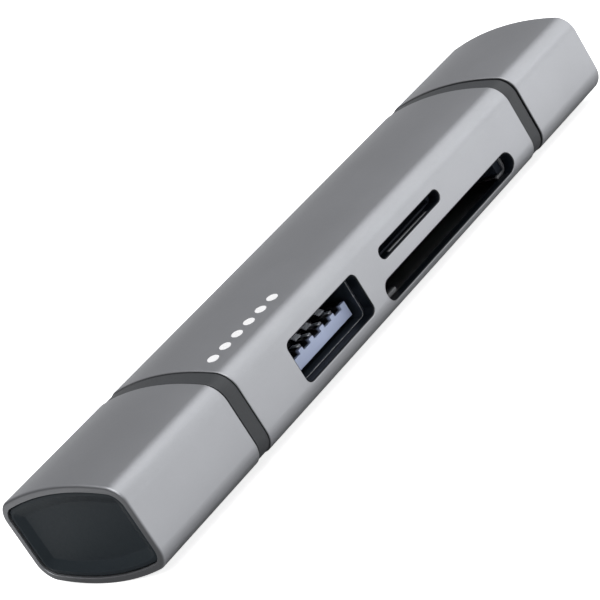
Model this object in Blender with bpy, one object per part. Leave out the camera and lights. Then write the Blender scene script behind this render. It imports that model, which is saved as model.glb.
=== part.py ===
"""A pocket USB hub and card reader: an aluminium sleeve with a USB port, a microSD slot and an SD slot
in its front face, a USB-A plug at its left end, a USB-C plug at its right end, and a pull-off cap over
each plug.

Frame: +X runs from the USB-A end to the USB-C end, -Y is the face with the ports, +Z is up. The origin
is under the middle of the hub, on the surface that it lies on. Sizes are in millimetres, and MM turns
them into metres.
"""

import math

import bmesh
import bpy

MM = 0.001

# Outer section, the same for the sleeve and both caps: flat sides, arched top and bottom, round corners
WIDTH = 20.0
SIDE_HEIGHT = 9.0
CROWN = 1.5
CORNER_RADIUS = 2.5
ARC_STEPS = 9
CORNER_STEPS = 6
EDGE_BREAK = 0.15

# Fits
SEAM = 0.05
RUNNING_GAP = 0.1
CAP_GAP = 0.15

# Sleeve, and how much larger than what goes in each opening in its front face is: width, height
SLEEVE_WALL = 1.0
USB_END_MARGIN = 7.9
PORT_SPACING = 2.5
SD_END_MARGIN = 4.25
USB_CUT_EXTRA = (0.7, 0.35)
USB_CUT_RADIUS = 0.85
SD_CUT_EXTRA = (3.0, 0.4)
MICROSD_CUT_EXTRA = (1.2, 0.61)
MICROSD_INSET = 1.95

# Fascia behind the front wall, with a collar through each opening
FASCIA_PLATE = 0.5
COLLAR_GAP = 0.04
COLLAR_WALL = 0.1
COLLAR_SET_BACK = 0.1

# End collars
USB_A_RING = 1.8
USB_C_RING = 1.95
RING_SET_BACK = 0.12
USB_A_NOSE = 2.6
USB_C_NOSE = 3.0
SPIGOT_WALL = 1.2
USB_A_REACH = 4.0
SOCKET_CLEARANCE = 0.5

# Caps
USB_A_CAP_END = 1.5
USB_C_CAP_END = 4.25
CAP_WALL = 0.8
LINER_WALL = 0.9
LINER_SET_BACK = 0.45
END_SET_BACK = 0.05
END_BORDER = 0.6
END_DISH_DEPTH = 0.45
END_DISH_SLOPE = 0.8
END_ROUND = 0.25
TIP_CLEARANCE = 0.5
PLUG_POCKET_GAP = 0.25

# Plugs
USB_A_PLUG = (12.0, 4.5)
USB_A_PLUG_RADIUS = 0.6
USB_A_EXPOSED = 12.0
USB_A_TAIL = 2.2
USB_A_BLOCK_FROM_TIP = 8.9
USB_C_PLUG = (8.25, 2.4)
USB_C_EXPOSED = 6.65
USB_C_TAIL = 1.2
SHEET = 0.3
CONTACT_SHEET = 0.15
CONTACT_WIDTH = 1.0
CONTACT_PLACES = (-3.5, -1.0, 1.0, 3.5)
FAST_CONTACT_WIDTH = 0.6
FAST_CONTACT_PLACES = (-4.0, -2.0, 0.0, 2.0, 4.0)
PLUG_WINDOW = 2.2
PLUG_WINDOW_PLACE = 2.6
PLUG_WINDOW_FROM_TIP = 6.2
USB_C_MOUTH = (6.7, 0.9)
USB_C_MOUTH_DEPTH = 5.6

# USB port
PORT_INSIDE = (12.4, 4.8)
PORT_RADIUS = 0.6
PORT_BELOW_MIDDLE = 0.25
PORT_REAR_ROOM = 3.0
PORT_WING = (0.9, 1.6, 0.25)
TONGUE_WIDTH = 11.1
TONGUE_HEIGHT = 1.75
TONGUE_RAISE = 0.62
TONGUE_SET_BACK = 0.9
TONGUE_LENGTH = 8.4
PAD_RECESS = (1.3, 2.9, 0.45)
PAD_LENGTH = 2.2
FINGER_WIDTH = 1.8
FINGER_LENGTH = 5.5
FINGER_PLACE = 3.0
FINGER_SET_BACK = 1.6

# Card sockets
COVER_SHEET = 0.2
SD_FLOOR_GAP = 0.35
SD_SET_BACK = 0.35
SD_LIPS = (3.0, 2.0, 4.0)
SD_CARD_ROOM = (24.4, 2.2)
SD_CUT_DROP = 0.12
SD_RAIL = 1.3
SD_ROOF = 0.45
SD_PITCH = 2.5
SD_CONTACTS = 9
SD_REAR_ROOM = 0.9
MICROSD_CARD_ROOM = (11.2, 0.95)
MICROSD_RAIL = 0.8
MICROSD_FLOOR = 0.5
MICROSD_PITCH = 1.1
MICROSD_CONTACTS = 8
MICROSD_CONTACT_WIDTH = 0.7
MICROSD_REAR_ROOM = 2.6
SOCKET_BACK_WALL = 0.8

# Board and the parts on it
BOARD_THICKNESS = 1.0
BOARD_EDGE_GAP = 0.5
BOARD_END_GAP = 0.3
NOTCH_GAP = 0.2
SLOT_GAP = 0.1
CHIP_BEVEL = 0.12

# What follows from those sizes
HALF_WIDTH = WIDTH / 2
MIDDLE_Z = SIDE_HEIGHT / 2 + CROWN
ARCH_RADIUS = (HALF_WIDTH**2 + CROWN**2) / (2 * CROWN)
USB_CUT_WIDTH = PORT_INSIDE[0] + USB_CUT_EXTRA[0]
USB_CUT_HEIGHT = PORT_INSIDE[1] + USB_CUT_EXTRA[1]
SD_CUT_WIDTH = SD_CARD_ROOM[0] + SD_CUT_EXTRA[0]
SD_CUT_HEIGHT = SD_CARD_ROOM[1] + SD_CUT_EXTRA[1]
MICROSD_CUT_WIDTH = MICROSD_CARD_ROOM[0] + MICROSD_CUT_EXTRA[0]
MICROSD_CUT_HEIGHT = MICROSD_CARD_ROOM[1] + MICROSD_CUT_EXTRA[1]
SLEEVE_LENGTH = USB_END_MARGIN + USB_CUT_WIDTH + PORT_SPACING + SD_CUT_WIDTH + SD_END_MARGIN
USB_A_CAP_LENGTH = USB_A_NOSE + USB_A_EXPOSED + TIP_CLEARANCE + USB_A_CAP_END - CAP_GAP
USB_C_CAP_LENGTH = USB_C_NOSE + USB_C_EXPOSED + TIP_CLEARANCE + USB_C_CAP_END - CAP_GAP
LENGTH = (
    USB_A_CAP_LENGTH + USB_A_RING + SLEEVE_LENGTH + USB_C_RING + USB_C_CAP_LENGTH
    + 2 * (CAP_GAP + SEAM)
)
LEFT_X = -LENGTH / 2
RIGHT_X = LENGTH / 2
USB_A_CAP_X = LEFT_X + USB_A_CAP_LENGTH
USB_A_FACE_X = USB_A_CAP_X + CAP_GAP
SLEEVE_LEFT_X = USB_A_FACE_X + USB_A_RING + SEAM
SLEEVE_RIGHT_X = SLEEVE_LEFT_X + SLEEVE_LENGTH
USB_C_FACE_X = SLEEVE_RIGHT_X + SEAM + USB_C_RING
USB_C_CAP_X = USB_C_FACE_X + CAP_GAP
USB_X = SLEEVE_LEFT_X + USB_END_MARGIN + USB_CUT_WIDTH / 2
SD_LEFT_X = USB_X + USB_CUT_WIDTH / 2 + PORT_SPACING
SD_X = SD_LEFT_X + SD_CUT_WIDTH / 2
MICROSD_X = SD_LEFT_X + MICROSD_INSET + MICROSD_CUT_WIDTH / 2
USB_C_REACH = SD_END_MARGIN - SOCKET_CLEARANCE
FRONT_Y = -HALF_WIDTH
FASCIA_FRONT_Y = FRONT_Y + SLEEVE_WALL + SEAM
FASCIA_BACK_Y = FASCIA_FRONT_Y + FASCIA_PLATE
SOCKET_FRONT_Y = FASCIA_BACK_Y + SEAM
INSIDE_BACK_Y = HALF_WIDTH - SLEEVE_WALL


def half_height(y, inset=0.0):
    """Half the height of the outer section, moved in by inset, at a distance y from its middle."""
    y = abs(y)
    corner_y = HALF_WIDTH - CORNER_RADIUS
    arch_middle = MIDDLE_Z - ARCH_RADIUS
    corner_z = arch_middle + math.sqrt((ARCH_RADIUS - CORNER_RADIUS) ** 2 - corner_y**2)
    turn = math.atan2(corner_y, corner_z - arch_middle)
    if y <= (ARCH_RADIUS - inset) * math.sin(turn):
        return arch_middle + math.sqrt((ARCH_RADIUS - inset) ** 2 - y**2)
    return corner_z + math.sqrt((CORNER_RADIUS - inset) ** 2 - (y - corner_y) ** 2)


# The stack inside the sleeve, from its floor up: SD socket, board, microSD socket
SD_FRONT_Y = SOCKET_FRONT_Y + SD_SET_BACK
SD_COVER_Z = MIDDLE_Z - half_height(SD_FRONT_Y, SLEEVE_WALL) + SD_FLOOR_GAP
SD_FLOOR_Z = SD_COVER_Z + COVER_SHEET
SD_ROOF_Z = SD_FLOOR_Z + SD_CARD_ROOM[1]
SD_Z = (SD_FLOOR_Z + SD_ROOF_Z) / 2 - SD_CUT_DROP
BOARD_Z = SD_ROOF_Z + SD_ROOF + SEAM
BOARD_TOP_Z = BOARD_Z + BOARD_THICKNESS
MICROSD_FLOOR_Z = BOARD_TOP_Z + SEAM + MICROSD_FLOOR
MICROSD_Z = MICROSD_FLOOR_Z + MICROSD_CARD_ROOM[1] / 2
USB_Z = MIDDLE_Z - PORT_BELOW_MIDDLE


# ---------------------------------------------------------------- shapes


def clear_scene():
    for obj in list(bpy.data.objects):
        bpy.data.objects.remove(obj, do_unlink=True)


def make_material(name, colour, roughness, metallic):
    material = bpy.data.materials.new(name)
    material.use_nodes = True
    shader = material.node_tree.nodes["Principled BSDF"]
    shader.inputs["Base Color"].default_value = (*colour, 1.0)
    shader.inputs["Roughness"].default_value = roughness
    shader.inputs["Metallic"].default_value = metallic
    return material


def section(inset):
    """The outer section moved in by inset, as (y, z) points, anticlockwise seen from +X."""
    corner_y = HALF_WIDTH - CORNER_RADIUS
    arch_z = -(ARCH_RADIUS - CROWN - SIDE_HEIGHT / 2)
    corner_z = arch_z + math.sqrt((ARCH_RADIUS - CORNER_RADIUS) ** 2 - corner_y**2)
    lean = math.atan2(corner_y, corner_z - arch_z)
    corner = CORNER_RADIUS - inset
    arch = ARCH_RADIUS - inset
    quarter = []
    for step in range(CORNER_STEPS + 1):
        angle = (math.pi / 2 - lean) * step / CORNER_STEPS
        quarter.append((corner_y + corner * math.cos(angle), corner_z + corner * math.sin(angle)))
    top = [
        (arch * math.sin(lean * side), arch_z + arch * math.cos(lean * side))
        for side in (1 - 2 * step / ARC_STEPS for step in range(1, ARC_STEPS))
    ]
    upper = quarter + top + [(-y, z) for y, z in reversed(quarter)]
    lower = [(-y, -z) for y, z in upper]
    return [(y, z + MIDDLE_Z) for y, z in upper + lower]


def rounded_rectangle(width, height, radius, steps=5):
    """Points round a rectangle with round corners, centred on (0, 0), anticlockwise."""
    points = []
    for quarter, (side, end) in enumerate(((1, 1), (-1, 1), (-1, -1), (1, -1))):
        for step in range(steps + 1):
            angle = math.pi / 2 * (quarter + step / steps)
            points.append(
                (
                    side * (width / 2 - radius) + radius * math.cos(angle),
                    end * (height / 2 - radius) + radius * math.sin(angle),
                )
            )
    return points


def stadium(width, height, steps=6):
    """A slot's outline: its ends are as round as its height allows."""
    return rounded_rectangle(width, height, height / 2 - 0.01, steps)


def add_object(name, mesh_maker, material=None, parent=None, place=(0, 0, 0)):
    """A new object whose mesh is what mesh_maker(bm) draws, in millimetres round its own origin."""
    bm = bmesh.new()
    mesh_maker(bm)
    bmesh.ops.recalc_face_normals(bm, faces=bm.faces)
    bmesh.ops.scale(bm, vec=(MM, MM, MM), verts=bm.verts)
    mesh = bpy.data.meshes.new(name)
    bm.to_mesh(mesh)
    bm.free()
    obj = bpy.data.objects.new(name, mesh)
    bpy.context.scene.collection.objects.link(obj)
    obj.location = [MM * value for value in place]
    if material:
        mesh.materials.append(material)
    if parent:
        obj.parent = parent
    return obj


def loft(stations):
    """Draws a solid through outlines of equal length: stations are (x, [(y, z), ...])."""

    def draw(bm):
        loops = [[bm.verts.new((x, y, z)) for y, z in outline] for x, outline in stations]
        for first, second in zip(loops, loops[1:]):
            for index in range(len(first)):
                after = (index + 1) % len(first)
                bm.faces.new((first[index], first[after], second[after], second[index]))
        bm.faces.new(loops[0][::-1])
        bm.faces.new(loops[-1])

    return draw


def prism(outline, start, end, along="X"):
    """Draws a solid by extruding an outline along X or along Y. Along Y, the outline is (x, z) points."""

    def draw(bm):
        if along == "X":
            corners = [bm.verts.new((start, u, v)) for u, v in outline]
            travel = (end - start, 0, 0)
        else:
            corners = [bm.verts.new((u, start, v)) for u, v in outline]
            travel = (0, end - start, 0)
        face = bm.faces.new(corners)
        moved = bmesh.ops.extrude_face_region(bm, geom=[face])["geom"]
        verts = [item for item in moved if isinstance(item, bmesh.types.BMVert)]
        bmesh.ops.translate(bm, vec=travel, verts=verts)

    return draw


def block(x, y, z):
    """Draws a box between the two values of each of x, y and z."""

    def draw(bm):
        bmesh.ops.create_cube(bm, size=1.0)
        size = (x[1] - x[0], y[1] - y[0], z[1] - z[0])
        bmesh.ops.scale(bm, vec=size, verts=bm.verts)
        middle = (sum(x) / 2, sum(y) / 2, sum(z) / 2)
        bmesh.ops.translate(bm, vec=middle, verts=bm.verts)

    return draw


def ribbon(path, thickness, width, along="Y"):
    """Draws a bent strip of sheet. The path is (distance, height) points along X or Y, and the strip is
    as wide as width across it."""

    def draw(bm):
        upper, lower = [], []
        for index, (s, h) in enumerate(path):
            before = path[max(index - 1, 0)]
            after = path[min(index + 1, len(path) - 1)]
            run, rise = after[0] - before[0], after[1] - before[1]
            length = math.hypot(run, rise)
            off = (-rise / length * thickness / 2, run / length * thickness / 2)
            upper.append((s + off[0], h + off[1]))
            lower.append((s - off[0], h - off[1]))
        outline = upper + lower[::-1]
        sides = []
        for side in (-width / 2, width / 2):
            if along == "Y":
                sides.append([bm.verts.new((side, s, h)) for s, h in outline])
            else:
                sides.append([bm.verts.new((s, side, h)) for s, h in outline])
        for index in range(len(outline)):
            after = (index + 1) % len(outline)
            bm.faces.new((sides[0][index], sides[0][after], sides[1][after], sides[1][index]))
        bm.faces.new(sides[0][::-1])
        bm.faces.new(sides[1])

    return draw


def helper(name, mesh_maker, parent=None, place=(0, 0, 0)):
    """An object that only takes part in a Boolean of another one."""
    obj = add_object(name, mesh_maker, parent=parent, place=place)
    obj.hide_render = True
    obj.display_type = "WIRE"
    return obj


def combine(obj, operation, *others):
    for other in others:
        modifier = obj.modifiers.new(f"{operation.lower()} {other.name}", "BOOLEAN")
        modifier.operation = operation
        modifier.object = other
        modifier.solver = "EXACT"


def smooth(obj):
    obj.data.shade_smooth()
    obj.data.set_sharp_from_angle(angle=math.radians(35))


# ---------------------------------------------------------------- sleeve and fascia

OPENINGS = {
    "usb": (USB_X, USB_Z, USB_CUT_WIDTH, USB_CUT_HEIGHT, USB_CUT_RADIUS),
    "microsd": (MICROSD_X, MICROSD_Z, MICROSD_CUT_WIDTH, MICROSD_CUT_HEIGHT, None),
    "sd": (SD_X, SD_Z, SD_CUT_WIDTH, SD_CUT_HEIGHT, None),
}


def opening_outline(opening, margin=0.0):
    """An opening's outline round its own middle, moved in by margin."""
    _, _, width, height, radius = opening
    width, height = width - 2 * margin, height - 2 * margin
    if radius is None:
        return stadium(width, height)
    return rounded_rectangle(width, height, radius - margin)


def sleeve_blank(inset, left_x, right_x, edge_break):
    """The stations of a length of the outer section whose end edges are broken."""
    return [
        (left_x, section(inset + edge_break)),
        (left_x + edge_break, section(inset)),
        (right_x - edge_break, section(inset)),
        (right_x, section(inset + edge_break)),
    ]


def build_sleeve(material):
    sleeve = add_object(
        "body_sleeve", loft(sleeve_blank(0, SLEEVE_LEFT_X, SLEEVE_RIGHT_X, EDGE_BREAK)), material
    )
    inside = section(SLEEVE_WALL)
    bore = helper("sleeve_bore", prism(inside, SLEEVE_LEFT_X - 1, SLEEVE_RIGHT_X + 1))
    combine(sleeve, "DIFFERENCE", bore)
    for name, opening in OPENINGS.items():
        cut = helper(
            f"{name}_cut",
            prism(opening_outline(opening), FRONT_Y - 1, FRONT_Y + SLEEVE_WALL + 1, along="Y"),
            place=(opening[0], 0, opening[1]),
        )
        combine(sleeve, "DIFFERENCE", cut)
    smooth(sleeve)
    return sleeve


def build_fascia(material):
    """A plate behind the front wall with a thin collar standing in each opening of the sleeve."""
    left_x = SLEEVE_LEFT_X + USB_A_REACH + SEAM
    right_x = SLEEVE_RIGHT_X - USB_C_REACH - SEAM
    fascia = add_object(
        "port_fascia", prism(section(SLEEVE_WALL + SEAM), left_x, right_x), material
    )
    room = helper(
        "fascia_room",
        block((left_x - 1, right_x + 1), (FASCIA_BACK_Y, HALF_WIDTH + 1), (-1, 2 * MIDDLE_Z + 1)),
    )
    combine(fascia, "DIFFERENCE", room)
    skin = helper("collar_skin", prism(section(COLLAR_SET_BACK), left_x - 1, right_x + 1))
    for name, opening in OPENINGS.items():
        place = (opening[0], 0, opening[1])
        collar = helper(
            f"{name}_collar",
            prism(opening_outline(opening, COLLAR_GAP), FRONT_Y - 0.5, FASCIA_BACK_Y - 0.1, along="Y"),
            place=place,
        )
        combine(collar, "INTERSECT", skin)
        combine(fascia, "UNION", collar)
    for name, opening in OPENINGS.items():
        mouth = helper(
            f"{name}_mouth",
            prism(opening_outline(opening, COLLAR_GAP + COLLAR_WALL), FRONT_Y - 1, 0, along="Y"),
            place=(opening[0], 0, opening[1]),
        )
        combine(fascia, "DIFFERENCE", mouth)
    return fascia


# ---------------------------------------------------------------- end collars


def build_collar(name, end, face_x, ring, nose, reach, plug_outline, material):
    """A dark ring between the sleeve and a cap. Its spigot plugs the sleeve and holds the board's end,
    and its nose carries the cap. end is -1 at the USB-A end and 1 at the USB-C end."""
    root_x = face_x - end * ring

    def along(*stations):
        return loft(sorted(stations, key=lambda station: station[0]))

    nose_inset = CAP_WALL + SEAM + LINER_WALL + RUNNING_GAP
    collar = add_object(
        name,
        along(
            (root_x, section(RING_SET_BACK)),
            (face_x, section(RING_SET_BACK)),
        ),
        material,
    )
    nose_tip = face_x + end * nose
    nose_part = helper(
        f"{name}_nose",
        along(
            (face_x - end * 0.5, section(nose_inset)),
            (nose_tip - end * EDGE_BREAK, section(nose_inset)),
            (nose_tip, section(nose_inset + EDGE_BREAK)),
        ),
    )
    spigot_inset = SLEEVE_WALL + SEAM
    spigot_tip = root_x - end * (SEAM + reach)
    spigot = helper(
        f"{name}_spigot",
        along((spigot_tip, section(spigot_inset)), (root_x + end * 0.5, section(spigot_inset))),
    )
    hollow = helper(
        f"{name}_hollow",
        along(
            (spigot_tip - end * 1, section(spigot_inset + SPIGOT_WALL)),
            (root_x - end * SEAM, section(spigot_inset + SPIGOT_WALL)),
        ),
    )
    slot = helper(
        f"{name}_slot",
        block(
            sorted((spigot_tip - end * 1, root_x - end * SEAM)),
            (-HALF_WIDTH, HALF_WIDTH),
            (BOARD_Z - SLOT_GAP, BOARD_TOP_Z + SLOT_GAP),
        ),
    )
    plug_hole = helper(
        f"{name}_plug_hole",
        prism(plug_outline, -20, 20),
        place=(face_x, 0, MIDDLE_Z),
    )
    combine(collar, "UNION", nose_part, spigot)
    combine(collar, "DIFFERENCE", hollow, slot, plug_hole)
    smooth(collar)
    return collar


# ---------------------------------------------------------------- caps


def build_cap(name, end, mouth_x, length, nose, plug_tip_x, plug_outline, material, dark):
    """A cap: an aluminium tube, and a dark insert that closes its end and fits over nose and plug."""
    parent = bpy.data.objects.new(name, None)
    bpy.context.scene.collection.objects.link(parent)
    parent.location = (MM * mouth_x, 0, MM * MIDDLE_Z)
    back = (-mouth_x, 0, -MIDDLE_Z)
    end_x = mouth_x + end * length
    low_x, high_x = sorted((mouth_x, end_x))
    shell = add_object(
        f"{name}_shell",
        loft(sleeve_blank(0, low_x, high_x, EDGE_BREAK)),
        material,
        parent,
        back,
    )
    bore = helper(
        f"{name}_bore", prism(section(CAP_WALL), low_x - 1, high_x + 1), parent, back
    )
    combine(shell, "DIFFERENCE", bore)
    smooth(shell)

    outer = CAP_WALL + SEAM
    face_x = end_x - end * END_SET_BACK
    liner_x = mouth_x + end * LINER_SET_BACK
    insert = add_object(
        f"{name}_insert",
        loft(
            sorted(
                (
                    (liner_x, section(outer)),
                    (face_x - end * END_ROUND, section(outer)),
                    (face_x - end * END_ROUND * 0.3, section(outer + END_ROUND * 0.3)),
                    (face_x, section(outer + END_ROUND)),
                ),
                key=lambda station: station[0],
            )
        ),
        dark,
        parent,
        back,
    )
    rim = outer + END_BORDER
    dish = helper(
        f"{name}_dish",
        loft(
            sorted(
                (
                    (face_x + end * 1, section(rim - 0.5)),
                    (face_x, section(rim)),
                    (face_x - end * END_DISH_DEPTH, section(rim + END_DISH_SLOPE)),
                ),
                key=lambda station: station[0],
            )
        ),
        parent,
        back,
    )
    nose_room_x = mouth_x - end * CAP_GAP + end * (nose + TIP_CLEARANCE)
    nose_room = helper(
        f"{name}_nose_room",
        prism(section(outer + LINER_WALL), *sorted((mouth_x - end * 1, nose_room_x))),
        parent,
        back,
    )
    pocket = helper(
        f"{name}_pocket",
        prism(plug_outline, *sorted((nose_room_x - end * 1, plug_tip_x + end * TIP_CLEARANCE))),
        parent,
        (back[0], 0, 0),
    )
    combine(insert, "DIFFERENCE", dish, nose_room, pocket)
    smooth(insert)
    return parent


# ---------------------------------------------------------------- plugs


def build_usb_a_plug(steel, blue, gold):
    """The USB-A plug: folded steel shell, insulator, four flat contacts and five sprung ones."""
    width, height = USB_A_PLUG
    base_x = USB_A_FACE_X - USB_A_NOSE
    tip_x = base_x - USB_A_EXPOSED
    tail_x = USB_A_FACE_X + USB_A_RING + USB_A_TAIL
    place = (tip_x, 0, MIDDLE_Z)
    length = tail_x - tip_x
    shell = add_object(
        "usb_a_plug_shell",
        prism(rounded_rectangle(width, height, USB_A_PLUG_RADIUS), 0, length),
        steel,
        place=place,
    )
    inside = (width - 2 * SHEET, height - 2 * SHEET)
    inner_radius = USB_A_PLUG_RADIUS - SHEET
    bore = helper(
        "usb_a_plug_bore",
        prism(rounded_rectangle(*inside, inner_radius), -1, length + 1),
        place=place,
    )
    combine(shell, "DIFFERENCE", bore)
    for side in (-1, 1):
        window = helper(
            f"usb_a_plug_window_{side}",
            block(
                (PLUG_WINDOW_FROM_TIP - PLUG_WINDOW / 2, PLUG_WINDOW_FROM_TIP + PLUG_WINDOW / 2),
                sorted(
                    (
                        side * (PLUG_WINDOW_PLACE - PLUG_WINDOW / 2),
                        side * (PLUG_WINDOW_PLACE + PLUG_WINDOW / 2),
                    )
                ),
                (-height, height),
            ),
            place=place,
        )
        combine(shell, "DIFFERENCE", window)
    smooth(shell)

    side = inside[0] / 2 - SEAM - inner_radius
    half_inside = inside[1] / 2 - SEAM
    top_z = -SEAM
    block_x = USB_A_BLOCK_FROM_TIP
    insulator = add_object(
        "usb_a_plug_insulator",
        block((0.3, length - 0.4), (-side, side), (-half_inside, top_z)),
        blue,
        place=place,
    )
    rear = helper(
        "usb_a_plug_rear",
        block((block_x, length - 0.4), (-side, side), (-half_inside + 0.2, half_inside)),
        place=place,
    )
    combine(insulator, "UNION", rear)
    pad_z = top_z + SEAM / 2 + CONTACT_SHEET / 2
    for index, side in enumerate(CONTACT_PLACES, start=1):
        add_object(
            f"usb_a_plug_contact_{index}",
            ribbon([(0.9, pad_z), (6.3, pad_z)], CONTACT_SHEET, CONTACT_WIDTH, along="X"),
            gold,
            place=(tip_x, side, MIDDLE_Z),
        )
    spring = [
        (block_x - 2.1, pad_z + 0.25),
        (block_x - 1.6, pad_z + 0.65),
        (block_x - 0.9, pad_z + 0.35),
        (block_x - SEAM, pad_z + 0.05),
    ]
    for index, side in enumerate(FAST_CONTACT_PLACES, start=1):
        add_object(
            f"usb_a_plug_fast_contact_{index}",
            ribbon(spring, CONTACT_SHEET, FAST_CONTACT_WIDTH, along="X"),
            gold,
            place=(tip_x, side, MIDDLE_Z),
        )


def build_usb_c_plug(steel, black):
    """The USB-C plug: drawn steel shell and the insulator inside it."""
    width, height = USB_C_PLUG
    tip_x = USB_C_FACE_X + USB_C_NOSE + USB_C_EXPOSED
    tail_x = USB_C_FACE_X - USB_C_RING - USB_C_TAIL
    place = (tip_x, 0, MIDDLE_Z)
    length = tip_x - tail_x
    shell = add_object(
        "usb_c_plug_shell", prism(stadium(width, height, 8), -length, 0), steel, place=place
    )
    inside = (width - 2 * SHEET, height - 2 * SHEET)
    bore = helper(
        "usb_c_plug_bore", prism(stadium(*inside, 8), -length - 1, 1), place=place
    )
    combine(shell, "DIFFERENCE", bore)
    smooth(shell)
    core = (inside[0] - 2 * SEAM, inside[1] - 2 * SEAM)
    insulator = add_object(
        "usb_c_plug_insulator", prism(stadium(*core, 8), -length + 0.3, -0.15), black, place=place
    )
    mouth = helper(
        "usb_c_plug_mouth",
        prism(rounded_rectangle(*USB_C_MOUTH, 0.3), -USB_C_MOUTH_DEPTH, 1),
        place=place,
    )
    combine(insulator, "DIFFERENCE", mouth)
    smooth(insulator)


# ---------------------------------------------------------------- USB port


def build_usb_port(steel, blue, gold):
    """The port behind the fascia: folded steel shell with sprung fingers, insulator with its tongue,
    five flat contacts at the tongue's front and four sprung ones behind them."""
    place = (USB_X, SOCKET_FRONT_Y, USB_Z)
    depth = INSIDE_BACK_Y - PORT_REAR_ROOM - SOCKET_FRONT_Y
    width, height = PORT_INSIDE
    outer = (width + 2 * SHEET, height + 2 * SHEET)
    shell = add_object(
        "usb_port_shell",
        prism(rounded_rectangle(*outer, PORT_RADIUS + SHEET), 0, depth, along="Y"),
        steel,
        place=place,
    )
    inside = helper(
        "usb_port_inside",
        prism(rounded_rectangle(width, height, PORT_RADIUS), -1, depth - SHEET, along="Y"),
        place=place,
    )
    combine(shell, "DIFFERENCE", inside)
    wing_x, wing_y, wing_z = PORT_WING
    wing_low = BOARD_TOP_Z + SEAM - USB_Z
    for side in (-1, 1):
        for row, start_y in enumerate((1.5, depth - 3.0)):
            wing = helper(
                f"usb_port_wing_{side}_{row}",
                block(
                    sorted((side * (outer[0] / 2 - SHEET / 2), side * (outer[0] / 2 + wing_x))),
                    (start_y, start_y + wing_y),
                    (wing_low, wing_low + wing_z),
                ),
                place=place,
            )
            combine(shell, "UNION", wing)
    finger_start = FINGER_SET_BACK
    for side in (-1, 1):
        slot = helper(
            f"usb_port_finger_slot_{side}",
            block(
                (-FINGER_WIDTH / 2 - 0.25, FINGER_WIDTH / 2 + 0.25),
                (finger_start, finger_start + FINGER_LENGTH),
                (height / 2 - 0.2, height),
            ),
            place=(USB_X + side * FINGER_PLACE, SOCKET_FRONT_Y, USB_Z),
        )
        wall = height / 2 + SHEET / 2
        finger = helper(
            f"usb_port_finger_{side}",
            ribbon(
                [
                    (finger_start + 0.25, wall - 0.3),
                    (finger_start + 1.1, wall - 0.55),
                    (finger_start + FINGER_LENGTH - 0.8, wall - 0.02),
                    (finger_start + FINGER_LENGTH + 0.6, wall - 0.02),
                ],
                SHEET - 0.1,
                FINGER_WIDTH,
            ),
            place=(USB_X + side * FINGER_PLACE, SOCKET_FRONT_Y, USB_Z),
        )
        combine(shell, "DIFFERENCE", slot)
        combine(shell, "UNION", finger)
    smooth(shell)

    half = (width / 2 - PORT_RADIUS, height / 2 - SEAM)
    tongue_z = -height / 2 + TONGUE_RAISE
    tongue_top = tongue_z + TONGUE_HEIGHT
    block_y = TONGUE_SET_BACK + TONGUE_LENGTH
    insulator = add_object(
        "usb_port_insulator",
        block((-half[0], half[0]), (block_y, depth - SHEET - SEAM), (-half[1], half[1])),
        blue,
        place=place,
    )
    tongue = helper(
        "usb_port_tongue",
        block(
            (-TONGUE_WIDTH / 2, TONGUE_WIDTH / 2),
            (TONGUE_SET_BACK, block_y + 0.5),
            (tongue_z, tongue_top),
        ),
        place=place,
    )
    combine(insulator, "UNION", tongue)

    front = TONGUE_SET_BACK
    recess_width, recess_length, recess_depth = PAD_RECESS
    low_z = tongue_top - recess_depth + SEAM / 2 + CONTACT_SHEET / 2
    pad_y = front + 0.2
    for index, side in enumerate(FAST_CONTACT_PLACES, start=1):
        recess = helper(
            f"usb_port_recess_{index}",
            block(
                (-recess_width / 2, recess_width / 2),
                (front - 0.5, front + recess_length),
                (tongue_top - recess_depth, tongue_top + 0.5),
            ),
            place=(USB_X + side, SOCKET_FRONT_Y, USB_Z),
        )
        combine(insulator, "DIFFERENCE", recess)
        add_object(
            f"usb_port_fast_contact_{index}",
            ribbon([(pad_y, low_z), (pad_y + PAD_LENGTH, low_z)], CONTACT_SHEET, FAST_CONTACT_WIDTH),
            gold,
            place=(USB_X + side, SOCKET_FRONT_Y, USB_Z),
        )
    rest_z = tongue_top + SEAM / 2 + CONTACT_SHEET / 2
    spring = [
        (front + 3.1, rest_z + 0.35),
        (front + 3.7, rest_z + 0.85),
        (front + 4.4, rest_z + 0.7),
        (front + 6.0, rest_z + 0.02),
        (block_y - SEAM, rest_z + 0.02),
    ]
    for index, side in enumerate(CONTACT_PLACES, start=1):
        add_object(
            f"usb_port_contact_{index}",
            ribbon(spring, CONTACT_SHEET, CONTACT_WIDTH),
            gold,
            place=(USB_X + side, SOCKET_FRONT_Y, USB_Z),
        )


# ---------------------------------------------------------------- card sockets


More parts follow.
